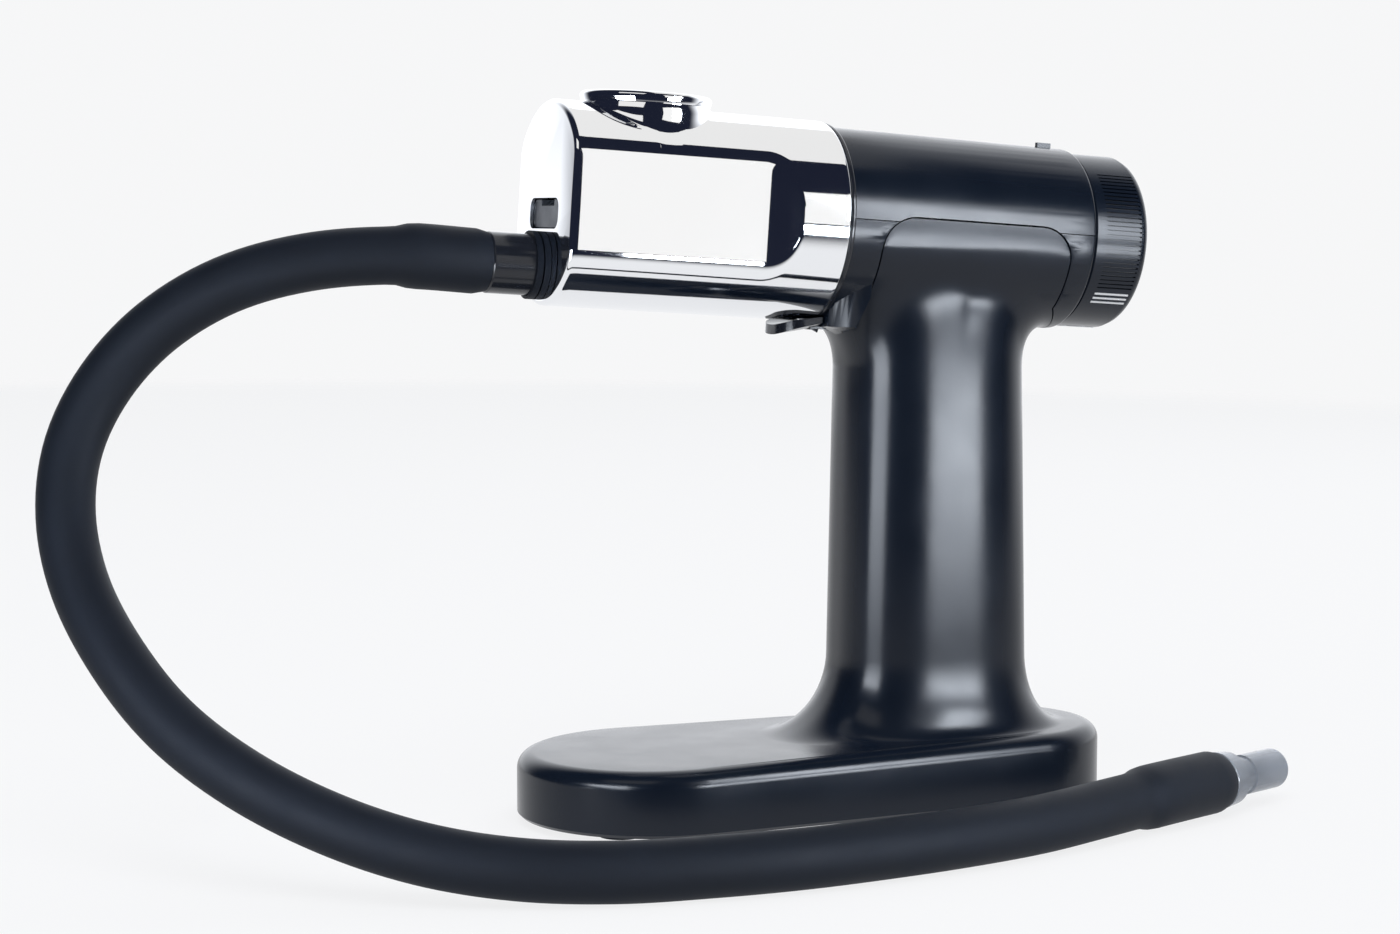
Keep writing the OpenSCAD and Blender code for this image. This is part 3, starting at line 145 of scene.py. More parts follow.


# %% [markdown]
# ## Which finish goes where
# The housing and the stand are the same satin black plastic, cool in tone. The hose is a
# matte rubber, the barrel a mirror, and what is hidden inside is plain moulded plastic,
# turned steel and brass. The ash tray's steel is darkened: painted shade for the recess of
# its slot. The names are those of the record's own material slots.

# %% The finishes
LOOKS = {
    "polished_steel": dict(colour=(0.86, 0.87, 0.89), rough=0.045, metallic=1, vary=0.015,
                           patch=14, grain=6, depth=0.004),
    "plain_steel": dict(colour=(0.50, 0.51, 0.53), rough=0.30, metallic=1, vary=0.06, patch=5,
                        grain=0.5, depth=0.01),
    # dark_steel is steel darkened so that the tray's face, deep in its slot, shows that
    # recess's shade: painted shade.
    "dark_steel": dict(colour=(0.10, 0.11, 0.13), rough=0.42, metallic=0.6, vary=0.05, patch=4,
                       grain=0.4, depth=0.008),
    "black_gloss": dict(colour=(0.012, 0.014, 0.020), rough=0.16, vary=0.03, grain=0.8,
                        depth=0.004, Specular_IOR_Level=0.4),
    "black_satin": dict(colour=(0.005, 0.009, 0.018), rough=0.22, vary=0.03, patch=16,
                        grain=0.28, depth=0.010, tint=0.1, Specular_IOR_Level=0.28),
    "inner_plastic": dict(colour=(0.020, 0.022, 0.027), rough=0.5, grain=0.5, depth=0.02,
                          tint=0.15),
    "black_rubber": dict(colour=(0.005, 0.008, 0.015), rough=0.6, vary=0.05, patch=12,
                         grain=0.3, depth=0.02, tint=0.15, Specular_IOR_Level=0.15),
    "smoked_plastic": dict(colour=(0.30, 0.33, 0.38), rough=0.22, vary=0.03, grain=0.9,
                           depth=0.004, Transmission_Weight=0.55, IOR=1.46),
    "white_paint": dict(colour=(0.80, 0.81, 0.83), rough=0.5, grain=0.3, depth=0.006,
                        tint=0.04),
    "contact_metal": dict(colour=(0.72, 0.60, 0.36), rough=0.28, metallic=1, grain=0.6,
                          depth=0.008),
    "cell_wrap": dict(colour=(0.05, 0.07, 0.10), rough=0.3, grain=1.0, depth=0.006, tint=0.2),
    "circuit_board": dict(colour=(0.02, 0.10, 0.05), rough=0.35, grain=0.7, depth=0.01,
                          tint=0.25),
    "wire_cover": dict(colour=(0.30, 0.02, 0.02), rough=0.42, grain=0.5, depth=0.01,
                       tint=0.15),
}
FINISHES = {slot: finish(slot, **look) for slot, look in LOOKS.items()}
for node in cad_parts.values():
    slot = node.material_slots[0].material.name
    node.data.materials[0] = FINISHES[slot]
print("finishes:", len(FINISHES))

# %% [markdown]
# ## The smoke hose
# A silicone hose keeps its length and bends under its own weight: straight off the spigot,
# out and down in one loop, then along the table past the base. It is 13 mm across, and its
# two ends are stretched over a barb, which makes them a little thicker. We sweep one ring
# along the route by extruding it again and again: over the outside, round each lip and back
# through the bore, so the hose is a real closed wall.

# %% The hose's route
HOSE_ROUTE = [
    mm(-72.6, 0, 130.5), mm(-93.5, 0, 132), mm(-113, 3.5, 130.5), mm(-130, 8.5, 125.5),
    mm(-144.5, 12.5, 116.5), mm(-155.5, 15, 104.5), mm(-163, 14, 90.5), mm(-166, 8.5, 75.5),
    mm(-164.5, -0.5, 60.5), mm(-159, -13, 46.5), mm(-150.5, -26, 34), mm(-138.5, -39.5, 24),
    mm(-123.5, -52, 16), mm(-107, -63, 10.5), mm(-89, -71.5, 7.5), mm(-69.5, -77.5, 6.5),
    mm(-49, -80, 6.5), mm(-28.5, -80, 6.5), mm(-7.5, -77.5, 6.5), mm(13.5, -73.5, 6.5),
    mm(34, -67.5, 6.5), mm(54, -60, 7), mm(74, -52, 7.5), mm(93.5, -43.5, 7.5),
]
HOSE_R = 6.5 * MM
HOSE_BORE_R = 4 * MM
HOSE_SIDES = 40
STEP = 2.5 * MM


def smooth_route(points):
    """Points about STEP apart on the smooth curve that passes through the given ones."""
    ends = [2 * points[0] - points[1], *points, 2 * points[-1] - points[-2]]
    route = []
    for a, b, c, d in zip(ends, ends[1:], ends[2:], ends[3:]):
        count = max(2, round((c - b).length / STEP))
        for k in range(count):
            t = k / count
            route.append(0.5 * (2 * b + (c - a) * t + (2 * a - 5 * b + 4 * c - d) * t * t
                                + (3 * b - a - 3 * c + d) * t * t * t))
    return route + [points[-1]]


def length_of(points):
    return sum((b - a).length for a, b in zip(points, points[1:]))


hose_path = smooth_route(HOSE_ROUTE)
hose_length = length_of(hose_path)
print("hose:", round(hose_length / MM), "mm long,", len(hose_path), "steps")


# %% Helpers that loft and sweep
def around(count):
    """count angles, evenly round a full turn."""
    return [2 * math.pi * k / count for k in range(count)]


def smooth_over(mesh, degrees):
    """Shades a mesh smooth, but for edges that turn by more than so many degrees."""
    mesh.shade_smooth()
    mesh.set_sharp_from_angle(angle=math.radians(degrees))


def as_object(bm, name, smooth=40):
    """Turns a bmesh into an object at the origin, smooth but for edges over smooth degrees."""
    mesh = bpy.data.meshes.new(name)
    bm.to_mesh(mesh)
    bm.free()
    smooth_over(mesh, smooth)
    return put_in_scene(bpy.data.objects.new(name, mesh))


def lofted(name, rings, joined=False):
    """A mesh through rings of points: one ring is extruded from place to place. Its two ends
    are joined to each other, or else each is capped."""
    bm = bmesh.new()
    ring = list(bmesh.ops.create_circle(bm, segments=len(rings[0]), radius=1)["verts"])
    for k, places in enumerate(rings):
        if k:
            order = {v: i for i, v in enumerate(ring)}
            edges = {e for v in ring for e in v.link_edges if e.other_vert(v) in order}
            made = bmesh.ops.extrude_edge_only(bm, edges=list(edges))["geom"]
            ring = [None] * len(order)
            for v in (g for g in made if isinstance(g, bmesh.types.BMVert)):
                twin = next(e.other_vert(v) for e in v.link_edges if e.other_vert(v) in order)
                ring[order[twin]] = v
        for v, place in zip(ring, places):
            v.co = place
    ends = [e for e in bm.edges if len(e.link_faces) < 2]
    if joined:
        bmesh.ops.bridge_loops(bm, edges=ends)
    else:
        bmesh.ops.holes_fill(bm, edges=ends)
    bmesh.ops.recalc_face_normals(bm, faces=bm.faces)
    return as_object(bm, name)


def swept(name, stations, sides):
    """A closed tube: a circle carried from station to station and back to the first. A
    station is a centre, a direction and a radius."""
    spin = Matrix.Identity(3)
    circle = [Vector((math.cos(t), math.sin(t), 0)) for t in around(sides)]
    rings = []
    for centre, direction, radius in stations:
        now = spin @ Vector((0, 0, 1))
        spin = now.rotation_difference(direction).to_matrix() @ spin
        rings.append([centre + spin @ (point * radius) for point in circle])
    return lofted(name, rings, joined=True)


# %% A helper that dresses a piece
def dress(piece, body, slot, *nodes):
    """Gives a piece its body, its finish and the frame's nodes that it stands for."""
    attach(piece, body)
    piece.data.materials.clear()
    piece.data.materials.append(FINISHES[slot])
    if nodes:
        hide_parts(*nodes)
    print(piece.name + ":", len(piece.data.polygons), "faces, rides on", body)
    return piece


# %% The hose
CUFF_R = 7.4 * MM
CUFF_FRONT = 17 * MM
CUFF_REAR = 27 * MM
CUFF_EASE = 5 * MM
LIP = 0.6 * MM


def hose_radius(run):
    """The hose's outside radius, run metres from its start."""
    def swell(depth, cuff):
        t = min(max((cuff + CUFF_EASE - depth) / CUFF_EASE, 0), 1)
        return t * t * (3 - 2 * t)
    grown = max(swell(run, CUFF_FRONT), swell(hose_length - run, CUFF_REAR))
    return HOSE_R + (CUFF_R - HOSE_R) * grown


def along(path):
    """Each point of a path with its direction and its run from the start."""
    run = 0
    for k, point in enumerate(path):
        before, after = path[max(k - 1, 0)], path[min(k + 1, len(path) - 1)]
        run += (point - before).length
        yield point, (after - before).normalized(), run


outside, bore = [], []
for centre, direction, run in along(hose_path):
    inset = min(run, hose_length - run)
    rounding = LIP - math.sqrt(max(LIP ** 2 - max(LIP - inset, 0) ** 2, 0))
    outside.append((centre, direction, hose_radius(run) - rounding))
    bore.append((centre, direction, HOSE_BORE_R + (hose_radius(run) - HOSE_R)))
hose = swept("smoke_hose", outside + bore[::-1], HOSE_SIDES)
dress(hose, "barrel", "black_rubber", "hose")

# %% [markdown]
# ## The barrel
# The barrel is turned from steel and polished to a mirror, and a mirror shows every facet,
# so it gets a finer skin than the frame's. Its section is a circle with a flat milled on
# each side and an 8 mm round between the two. We loft that section along the tube, a degree
# at a time, with close stations where the flats run out. All of the tube's pieces are
# modelled level, in millimetres, with the grip's axis at zero, and then tilted into place.

# %% The barrel's section
GRIP_X, TUBE_Z, TUBE_TILT = 38.5, 137.5, 3.8
TUBE = (Matrix.Translation((GRIP_X, 0, TUBE_Z))
        @ Matrix.Rotation(math.radians(TUBE_TILT), 4, "Y"))
TO_METRES = Matrix.Scale(MM, 4)
FRONT, RIM = -97, -31
BARREL_R = 23.5
BARREL_SIDES = 360
FLAT_Y = 19.6
ROUND_R = 8
FLAT_END = -51
RUNOUT_R = 11


def half_width(s):
    """Half the width over the flats at s: the flats run out on an arc to the full round."""
    rise = min(max(s - FLAT_END, 0), RUNOUT_R)
    return min(FLAT_Y + RUNOUT_R - math.sqrt(RUNOUT_R ** 2 - rise ** 2), BARREL_R)


def reach(angle, half):
    """How far the section reaches from the axis at an angle, 0 being level."""
    level, up = abs(math.cos(angle)), abs(math.sin(angle))
    side = half - ROUND_R
    rise = math.sqrt(max((BARREL_R - ROUND_R) ** 2 - side ** 2, 0))
    if up * half <= level * rise:
        return half / level
    if up * side >= level * rise:
        return BARREL_R
    ahead = side * level + rise * up
    return ahead + math.sqrt(ROUND_R ** 2 - side ** 2 - rise ** 2 + ahead ** 2)


def section(s, inset=0):
    """The barrel's outline at s, drawn in by inset."""
    reaches = [(t, reach(t, half_width(s)) - inset) for t in around(BARREL_SIDES)]
    return [Vector((s, r * math.cos(t), r * math.sin(t))) for t, r in reaches]


print("section at the flats:", 2 * FLAT_Y, "wide,", 2 * BARREL_R, "high")


# %% The barrel's skin
FRONT_EDGE = 1.1
RIM_EDGE = 0.3
RUNOUT_L = 8.4


def steps(start, end, count):
    return [start + (end - start) * k / count for k in range(count + 1)]


def rounded_end(s, edge, inward):
    """Stations and insets over a rounded end whose face lies at s."""
    turns = [math.radians(t) for t in range(0, 91, 18)]
    return [(s + inward * edge * (1 - math.sin(t)), edge * (1 - math.cos(t))) for t in turns]


flats = steps(FRONT + 2.5, FLAT_END, 28)
runout = steps(FLAT_END + 0.4, FLAT_END + RUNOUT_L + 0.4, 21)
full_round = steps(FLAT_END + 10, RIM - 1, 5)
stations = (rounded_end(FRONT, FRONT_EDGE, 1)[::-1]
            + [(s, 0) for s in flats + runout + full_round]
            + rounded_end(RIM, RIM_EDGE, -1))
barrel = lofted("barrel_skin", [section(s, inset) for s, inset in stations])
print("skin:", len(stations), "stations,", len(barrel.data.polygons), "faces")

# %% [markdown]
# ## The collar round the burn bowl
# The collar grows out of the barrel's top. Seen from above it is a round wall, and at its
# foot a hollow flare carries it down the barrel's shoulders. A rounded blend of two heights,
# the flare's and the barrel's, gives one flowing surface, which we loft in rings round the
# bowl's axis and join to the skin with a boolean.

# %% The collar's flare
BOWL_S = -74
COLLAR_R = 15.2
COLLAR_SIDES = 180
FLARE = 3.4
FLARE_TOP, FLARE_FOOT = 22.5, 13
BLEND, LIFT = 1.6, 0.01
FOOT_STEP, FOOT_MAX_R = 0.02, 19


def barrel_top(y):
    """Height of the barrel's surface beside the bowl."""
    side = FLAT_Y - ROUND_R
    rise = math.sqrt((BARREL_R - ROUND_R) ** 2 - side ** 2)
    if abs(y) * rise <= side * math.sqrt(BARREL_R ** 2 - y * y):
        return math.sqrt(BARREL_R ** 2 - y * y)
    return rise + math.sqrt(max(ROUND_R ** 2 - (abs(y) - side) ** 2, 0))


def flare_top(radius):
    """Height of the flare at a distance from the bowl's axis."""
    out = min(max((radius - COLLAR_R) / FLARE, 0), 1)
    return FLARE_FOOT + (FLARE_TOP - FLARE_FOOT) * (1 - math.sqrt(out))


def blended(radius, y):
    """The higher of flare and barrel, with a round where they meet. It stays a hair above
    the barrel, because a boolean can tear two surfaces that all but coincide."""
    a, b = flare_top(radius), barrel_top(y)
    return max(a, b) + max(BLEND - abs(a - b), 0) ** 2 / (4 * BLEND) + LIFT


def foot_radius(turn):
    """Where the collar's blend has died away, in one direction round the bowl."""
    radius = COLLAR_R + 0.1
    while (flare_top(radius) > barrel_top(radius * math.sin(turn)) - BLEND
           and radius < FOOT_MAX_R):
        radius += FOOT_STEP
    return radius


feet = {t: foot_radius(t) for t in around(COLLAR_SIDES)}
print("collar's foot: up to", round(max(feet.values()), 1), "mm from the bowl's axis")

# %% The collar's rings
COLLAR_TOP = 26.2
COLLAR_EDGE = 1.0
COLLAR_LEAN = 0.35
GROOVE_Z = 23.6
GROOVE_PROFILE = [(0, 0.3), (0.25, 0.25), (0.25, 0.05), (0, 0)]
FLARE_RINGS, FLARE_CROWDING = 14, 1.7
HEM_OUT, HEM_SINK = 0.25, 0.06
ROOT_IN, ROOT_Z = 2, 8


def bowl_ring(radius, height):
    """A ring round the bowl's axis. Either value may be a function of the direction."""
    ring = []
    for t in around(COLLAR_SIDES):
        r = radius(t) if callable(radius) else radius
        z = height(r, r * math.sin(t)) if callable(height) else height
        ring.append(Vector((BOWL_S + r * math.cos(t), r * math.sin(t), z)))
    return ring


def collar_rings():
    """From the collar's top, over its edge, its groove and its flare, into the barrel."""
    rings = []
    for tip in (math.radians(t) for t in range(0, 91, 15)):
        rings.append(bowl_ring(COLLAR_R - COLLAR_EDGE * (1 - math.sin(tip)),
                               COLLAR_TOP - COLLAR_EDGE * (1 - math.cos(tip))))
    waist = COLLAR_R - COLLAR_LEAN
    rings += [bowl_ring(waist - depth, GROOVE_Z + up) for depth, up in GROOVE_PROFILE]
    for u in steps(0, 1, FLARE_RINGS):
        share = u ** FLARE_CROWDING
        rings.append(bowl_ring(lambda t: COLLAR_R + (feet[t] - COLLAR_R) * share, blended))
    rings.append(bowl_ring(lambda t: feet[t] + HEM_OUT, lambda r, y: barrel_top(y) - HEM_SINK))
    rings.append(bowl_ring(lambda t: feet[t] - ROOT_IN, ROOT_Z))
    return rings


collar = lofted("collar", collar_rings())
print("collar:", len(collar.data.polygons), "faces")


# %% Helpers that carve
def carve(piece, tool, operation="DIFFERENCE"):
    """Cuts a tool's shape out of a piece, or joins it on, and takes the tool away."""
    modifier = piece.modifiers.new("carve", "BOOLEAN")
    modifier.operation = operation
    modifier.solver = "EXACT"
    modifier.object = tool
    result = bpy.data.meshes.new_from_object(
        piece.evaluated_get(bpy.context.evaluated_depsgraph_get()))
    piece.modifiers.clear()
    piece.data = result
    bpy.data.objects.remove(tool)


def open_edges(piece):
    """How many of a piece's edges lack a face on one side. A closed skin has none."""
    bm = bmesh.new()
    bm.from_mesh(piece.data)
    count = sum(not edge.is_manifold for edge in bm.edges)
    bm.free()
    return count


def box(low, high):
    """A bmesh box between two corners."""
    bm = bmesh.new()
    bmesh.ops.create_cube(bm, size=1)
    low, high = Vector(low), Vector(high)
    bmesh.ops.scale(bm, verts=bm.verts, vec=high - low)
    bmesh.ops.translate(bm, verts=bm.verts, vec=(low + high) / 2)
    return bm


def block(low, high):
    return as_object(box(low, high), "block")


def drum(centre, radius, length, axis="Z", segments=96):
    """A cylinder along the Z or the X axis."""
    bm = bmesh.new()
    bmesh.ops.create_cone(bm, cap_ends=True, segments=segments, radius1=radius,
                          radius2=radius, depth=length)
    if axis == "X":
        bmesh.ops.rotate(bm, verts=bm.verts, matrix=Matrix.Rotation(math.pi / 2, 3, "Y"))
    bmesh.ops.translate(bm, verts=bm.verts, vec=centre)
    return as_object(bm, "drum")


# %% [markdown]
# ## The barrel's openings
# The barrel is a closed skin so far. Booleans hollow it and cut what the real one has: the
# bowl's bore with a recess for its rim, the ash tray's slot with rounded corners and the
# spigot's hole in the front wall, and the notch that the release lever's latch drops into.
# The recess is cut last. It leaves a rim only 0.1 mm wide, which later cuts could tear.

# %% The barrel's openings
BARREL_WALL, FRONT_WALL = 2, 4
SLOT_Z, SLOT_W, SLOT_H, SLOT_CORNER = -2.5, 20, 7, 2.4
SPIGOT_Z, SPIGOT_R, SPIGOT_FIT = -14.4, 7, 0.08
BOWL_BORE_R, BOWL_BORE_Z, BOWL_BORE_L = 12.5, 13, 14
BOWL_RIM_R, BOWL_RIM_Z, BOWL_RIM_L = 14.1, 24.4, 4
NOTCH_S0, NOTCH_S1, NOTCH_W, NOTCH_DEPTH = RIM - 3.6, RIM - 1.6, 10, 0.9
PAST = 2


def slot_cutter():
    """The ash tray's slot: a box through the front wall, its long edges rounded."""
    bm = box((FRONT - PAST, -SLOT_W / 2, SLOT_Z - SLOT_H / 2),
             (FRONT + FRONT_WALL + PAST, SLOT_W / 2, SLOT_Z + SLOT_H / 2))
    long_edges = [e for e in bm.edges if abs(e.verts[0].co.x - e.verts[1].co.x) > FRONT_WALL]
    bmesh.ops.bevel(bm, geom=long_edges, offset=SLOT_CORNER, affect="EDGES", segments=8,
                    profile=0.5, material=-1)
    return as_object(bm, "slot")


carve(barrel, collar, "UNION")
cavity = (FRONT + FRONT_WALL, FLAT_END, *steps(FLAT_END + 1.2, FLAT_END + RUNOUT_L, 6), RIM + 1)
carve(barrel, lofted("cavity", [section(s, BARREL_WALL) for s in cavity]))
carve(barrel, drum((BOWL_S, 0, BOWL_BORE_Z + BOWL_BORE_L / 2), BOWL_BORE_R, BOWL_BORE_L))
carve(barrel, slot_cutter())
carve(barrel, drum((FRONT + FRONT_WALL / 2, 0, SPIGOT_Z), SPIGOT_R + SPIGOT_FIT,
                   FRONT_WALL + PAST, "X"))
carve(barrel, block((NOTCH_S0, -NOTCH_W / 2, -BARREL_R - 1),
                    (NOTCH_S1, NOTCH_W / 2, -BARREL_R + NOTCH_DEPTH)))
carve(barrel, drum((BOWL_S, 0, BOWL_RIM_Z + BOWL_RIM_L / 2), BOWL_RIM_R, BOWL_RIM_L))
print("barrel:", open_edges(barrel), "open edges")
barrel.data.transform(TO_METRES @ TUBE)
smooth_over(barrel.data, 35)
dress(barrel, "barrel", "polished_steel", "barrel")

# %% [markdown]
# ## The stand
# Base, grip and saddle are one moulding without a seam, so their highlights must run through
# unbroken. We loft one skin from the base's foot to the saddle. The base is two arcs with
# tangents, the grip a superellipse, and the hollow flares between them are quarter turns.
# Under the housing each line leaves the grip upright and lands on the housing's cylinder
# along its slope, as a Bezier curve, so grip and saddle flow together.

# %% The stand's outlines
GRIP_TOP, GRIP_FOOT, GRIP_W, GRIP_N = 44.8, 47.8, 36, 2.6
BASE_NOSE, BASE_TAIL = -64, 82.5
BASE_NOSE_R, BASE_TAIL_R = 32, 26
RING = 192


def oval(centre, a, b, power):
    """A superellipse in plan."""
    return [Vector((centre + a * math.copysign(abs(math.cos(t)) ** (2 / power), math.cos(t)),
                    b * math.copysign(abs(math.sin(t)) ** (2 / power), math.sin(t)), 0))
            for t in around(RING)]


def base_plan(inset):
    """The base's outline in plan, drawn in by inset: a wide nose and a narrower tail."""
    nose, tail = BASE_NOSE + BASE_NOSE_R, BASE_TAIL - BASE_TAIL_R
    r0, r1 = BASE_NOSE_R - inset, BASE_TAIL_R - inset
    lean = math.asin((r0 - r1) / (tail - nose))
    half = math.pi / 2 - lean
    plan = []
    for k in range(RING):
        side = 1 if k <= RING // 2 else -1
        u = min(k, RING - k) / (RING // 4)
        turn = half * u if u < 1 else half + (math.pi - half) * (u - 1)
        x, r = (tail, r1) if u < 1 else (nose, r0)
        plan.append(Vector((x + r * math.cos(turn), side * r * math.sin(turn), 0)))
    return plan


def at_height(plan, height):
    """Sets a plan at a height, which may follow x."""
    return [Vector((p.x, p.y, height(p.x) if callable(height) else height)) for p in plan]


def mixed(ring, other, u):
    return [a.lerp(b, u) for a, b in zip(ring, other)]


grip_low = oval(GRIP_X, GRIP_FOOT / 2, GRIP_W / 2, GRIP_N)
grip_top = oval(GRIP_X, GRIP_TOP / 2, GRIP_W / 2, GRIP_N)
print("base:", BASE_TAIL - BASE_NOSE, "mm long; grip:", GRIP_TOP, "x", GRIP_W, "mm at its top")

# %% The base and the grip
BASE_NOSE_H, BASE_TAIL_H, BASE_EDGE = 16.2, 17.8, 3.9
FOOT_H, FOOT_GAP, FOOT_CHAMFER = 1.5, 0.05, 0.8
SKIRT_X, SKIRT_HALF, SKIRT_N, SKIRT_RISE = GRIP_X - 3, 39, 2.2, 0.2
SKIRT_SIDE = BASE_TAIL_R - BASE_EDGE + 1.5
FLARE_Z, NECK_Z = 36, 105


def base_top(x):
    return BASE_NOSE_H + (BASE_TAIL_H - BASE_NOSE_H) * (x - BASE_NOSE) / (BASE_TAIL - BASE_NOSE)


def skirt_top(x):
    """Height of the flare's foot, a little over the base's top."""
    return base_top(x) + SKIRT_RISE


def base_rings():
    """From the foot of the base's wall, over its round edge and up to the grip's top."""
    wall_foot = FOOT_H + FOOT_GAP
    rings = [at_height(base_plan(FOOT_CHAMFER), wall_foot),
             at_height(base_plan(0), wall_foot + FOOT_CHAMFER)]
    for turn in (math.radians(t) for t in range(0, 91, 9)):
        rings.append(at_height(base_plan(BASE_EDGE * (1 - math.cos(turn))),
                               lambda x: base_top(x) - BASE_EDGE * (1 - math.sin(turn))))
    crown = rings[-1]
    skirt = at_height(oval(SKIRT_X, SKIRT_HALF, SKIRT_SIDE, SKIRT_N), skirt_top)
    rings += [mixed(crown, skirt, u) for u in (0.2, 0.4, 0.6, 0.8)]
    for turn in (math.radians(t) for t in range(0, 91, 6)):
        plan = mixed(skirt, grip_low, math.sin(turn))
        rings.append(mixed(at_height(plan, skirt_top), at_height(plan, FLARE_Z),
                           1 - math.cos(turn)))
    rings += [mixed(at_height(grip_low, FLARE_Z), at_height(grip_top, NECK_Z), u)
              for u in steps(0, 1, 12)[1:]]
    return rings


print("base's top:", BASE_NOSE_H, "mm high at the nose,", BASE_TAIL_H, "mm at the tail")

# %% The housing's underside
HOUSING_R0, HOUSING_R1, HOUSING_BORE = 22.4, 21.8, 19.7
HOUSING_TAIL = 34


def housing_r(s):
    """The housing's radius at s: it tapers a little towards the dial."""
    u = min(max((s - RIM) / (HOUSING_TAIL - RIM), 0), 1)
    return HOUSING_R0 + (HOUSING_R1 - HOUSING_R0) * u


def on_housing(s, y):
    """The point of the housing's underside at s and y, in the tube's frame."""
    r = housing_r(s)
    y = max(min(y, r), -r)
    return Vector((s, y, -math.sqrt(r * r - y * y)))


print("housing: radius", round(housing_r(0), 2), "mm over the grip's axis")

# %% The neck and the saddle
NECK_HALF, NECK_SIDE, NECK_N, NECK_X = 31.65, 19.6, 3.2, -0.75
NECK_STEPS = 16
LEAVING, LEAVING_AT_SIDE = 0.55, 0.1
LANDING, LANDING_AT_SIDE = 0.55, 0.30
BRIM_OUT, BRIM_N, BRIM_STEPS = 4, 9, 10
FLANK_HEIGHTS = (3, 6, 10)


def neck_line(t, start, end, plumb):
    """The four control points of the Bezier curve from grip to housing, in direction t."""
    side = math.sin(t) ** 2
    climb = end.z - start.z
    away = Vector((end.x - start.x, end.y - start.y, 0))
    slope = abs(end.y) / math.sqrt(housing_r(end.x) ** 2 - end.y ** 2)
    rise = slope * abs(away.y) / max(away.length, 0.01)
    landing = (away.normalized() + Vector((0, 0, rise))).normalized()
    leave = start + plumb * climb * (LEAVING + LEAVING_AT_SIDE * side)
    land = end - landing * (LANDING * away.length + LANDING_AT_SIDE * side * climb)
    return start, leave, land, end


def bezier(a, b, c, d, u):
    v = 1 - u
    return a * v ** 3 + b * 3 * v * v * u + c * 3 * v * u * u + d * u ** 3


def neck_rings():
    """From the grip's top to the housing, and on round it to above the saddle's top."""
    to_tube = TUBE.inverted()
    plumb = (to_tube.to_3x3() @ Vector((0, 0, 1))).normalized()
    grip = [to_tube @ p for p in at_height(grip_top, NECK_Z)]
    landed = [on_housing(p.x, p.y) for p in oval(NECK_X, NECK_HALF, NECK_SIDE, NECK_N)]
    lines = [neck_line(t, start, end, plumb)
             for t, start, end in zip(around(RING), grip, landed)]
    rings = [[bezier(*line, u) for line in lines] for u in steps(0, 1, NECK_STEPS)[1:]]
    brim = oval(NECK_X, NECK_HALF + BRIM_OUT, HOUSING_R1, BRIM_N)
    for u in steps(0, 1, BRIM_STEPS)[1:]:
        rings.append([on_housing(end.x + (edge.x - end.x) * u, end.y + (edge.y - end.y) * u)
                      for end, edge in zip(landed, brim)])
    brim = rings[-1]
    for z in FLANK_HEIGHTS:
        widest = [math.sqrt(housing_r(p.x) ** 2 - z * z) for p in brim]
        rings.append([Vector((p.x, math.copysign(min(abs(p.y), w), p.y), z))
                      for p, w in zip(brim, widest)])
    return [[TUBE @ p for p in ring] for ring in rings]


stand = lofted("stand_skin", base_rings() + neck_rings())
print("stand:", len(stand.data.polygons), "faces before its openings")

# %% [markdown]
# ## The saddle's seam and the stand's hollows
# Seen from the side, the saddle ends in a line with round corners. We cut it as a tailor
# would: everything outside a pattern is taken off at once, with a block that has the pattern
# cut out of it. Then the stand gets its inside: the housing's bore, the wires' passage, the
# base's hollow with its four screw bosses left standing, and the bay for the batteries.

# %% The saddle's pattern
SADDLE_S0, SADDLE_S1, SADDLE_TOP, SADDLE_CORNER = -21.5, 27.5, 1.8, 8
SADDLE_FLARE_Z = -17
SPLAY_FRONT, SPLAY_FRONT_H = 3.3, 10
SPLAY_REAR, SPLAY_REAR_H = 4.5, 5
PATTERN_FOOT, PATTERN_W = -50, 90


def prism(outline, width):
    """An outline in the tube's s and z, made solid across the tube."""
    bm = bmesh.new()
    face = bm.faces.new([bm.verts.new((s, -width / 2, z)) for s, z in outline])
    made = bmesh.ops.extrude_face_region(bm, geom=[face])["geom"]
    bmesh.ops.translate(bm, verts=[g for g in made if isinstance(g, bmesh.types.BMVert)],
                        vec=(0, width, 0))
    bmesh.ops.recalc_face_normals(bm, faces=bm.faces)
    return as_object(bm, "prism")


def saddle_outline():
    """Side view of the saddle: round above, wider below the housing."""
    c = SADDLE_CORNER
    front, rear = SADDLE_S0 - SPLAY_FRONT, SADDLE_S1 + SPLAY_REAR
    turns = [math.radians(t) for t in range(0, 91, 6)]
    points = [(front, PATTERN_FOOT), (rear, PATTERN_FOOT),
              (rear, SADDLE_FLARE_Z - SPLAY_REAR_H), (SADDLE_S1, SADDLE_FLARE_Z)]
    points += [(SADDLE_S1 - c + c * math.cos(t), SADDLE_TOP - c + c * math.sin(t))
               for t in turns]
    points += [(SADDLE_S0 + c - c * math.sin(t), SADDLE_TOP - c + c * math.cos(t))
               for t in turns]
    return points + [(SADDLE_S0, SADDLE_FLARE_Z), (front, SADDLE_FLARE_Z - SPLAY_FRONT_H)]


print("saddle:", SADDLE_S1 - SADDLE_S0, "mm long at its top")

# %% The stand's openings
CHIN_Z = -30.5
OFFCUT_S, OFFCUT_Y, OFFCUT_TOP = 60, 40, 40
BORE_L = 140
PASSAGE_S, PASSAGE_Z, PASSAGE_R, PASSAGE_L = 4.5, -35, 5, 40
BASE_WALL = 2.2
BOSSES = [(-30, 25), (-30, -25), (58.5, 19), (58.5, -19)]
BOSS_R, BOSS_FOOT, BOSS_L = 2.6, 3.5, 23
BAY_HALF, BAY_SIDE, BAY_N, BAY_TOP = 19.75, 15.75, 3, 92.7


def plan_solid(plan, low, high):
    """A plan outline made solid between two heights."""
    return lofted("hollow", [at_height(plan, low), at_height(plan, high)])


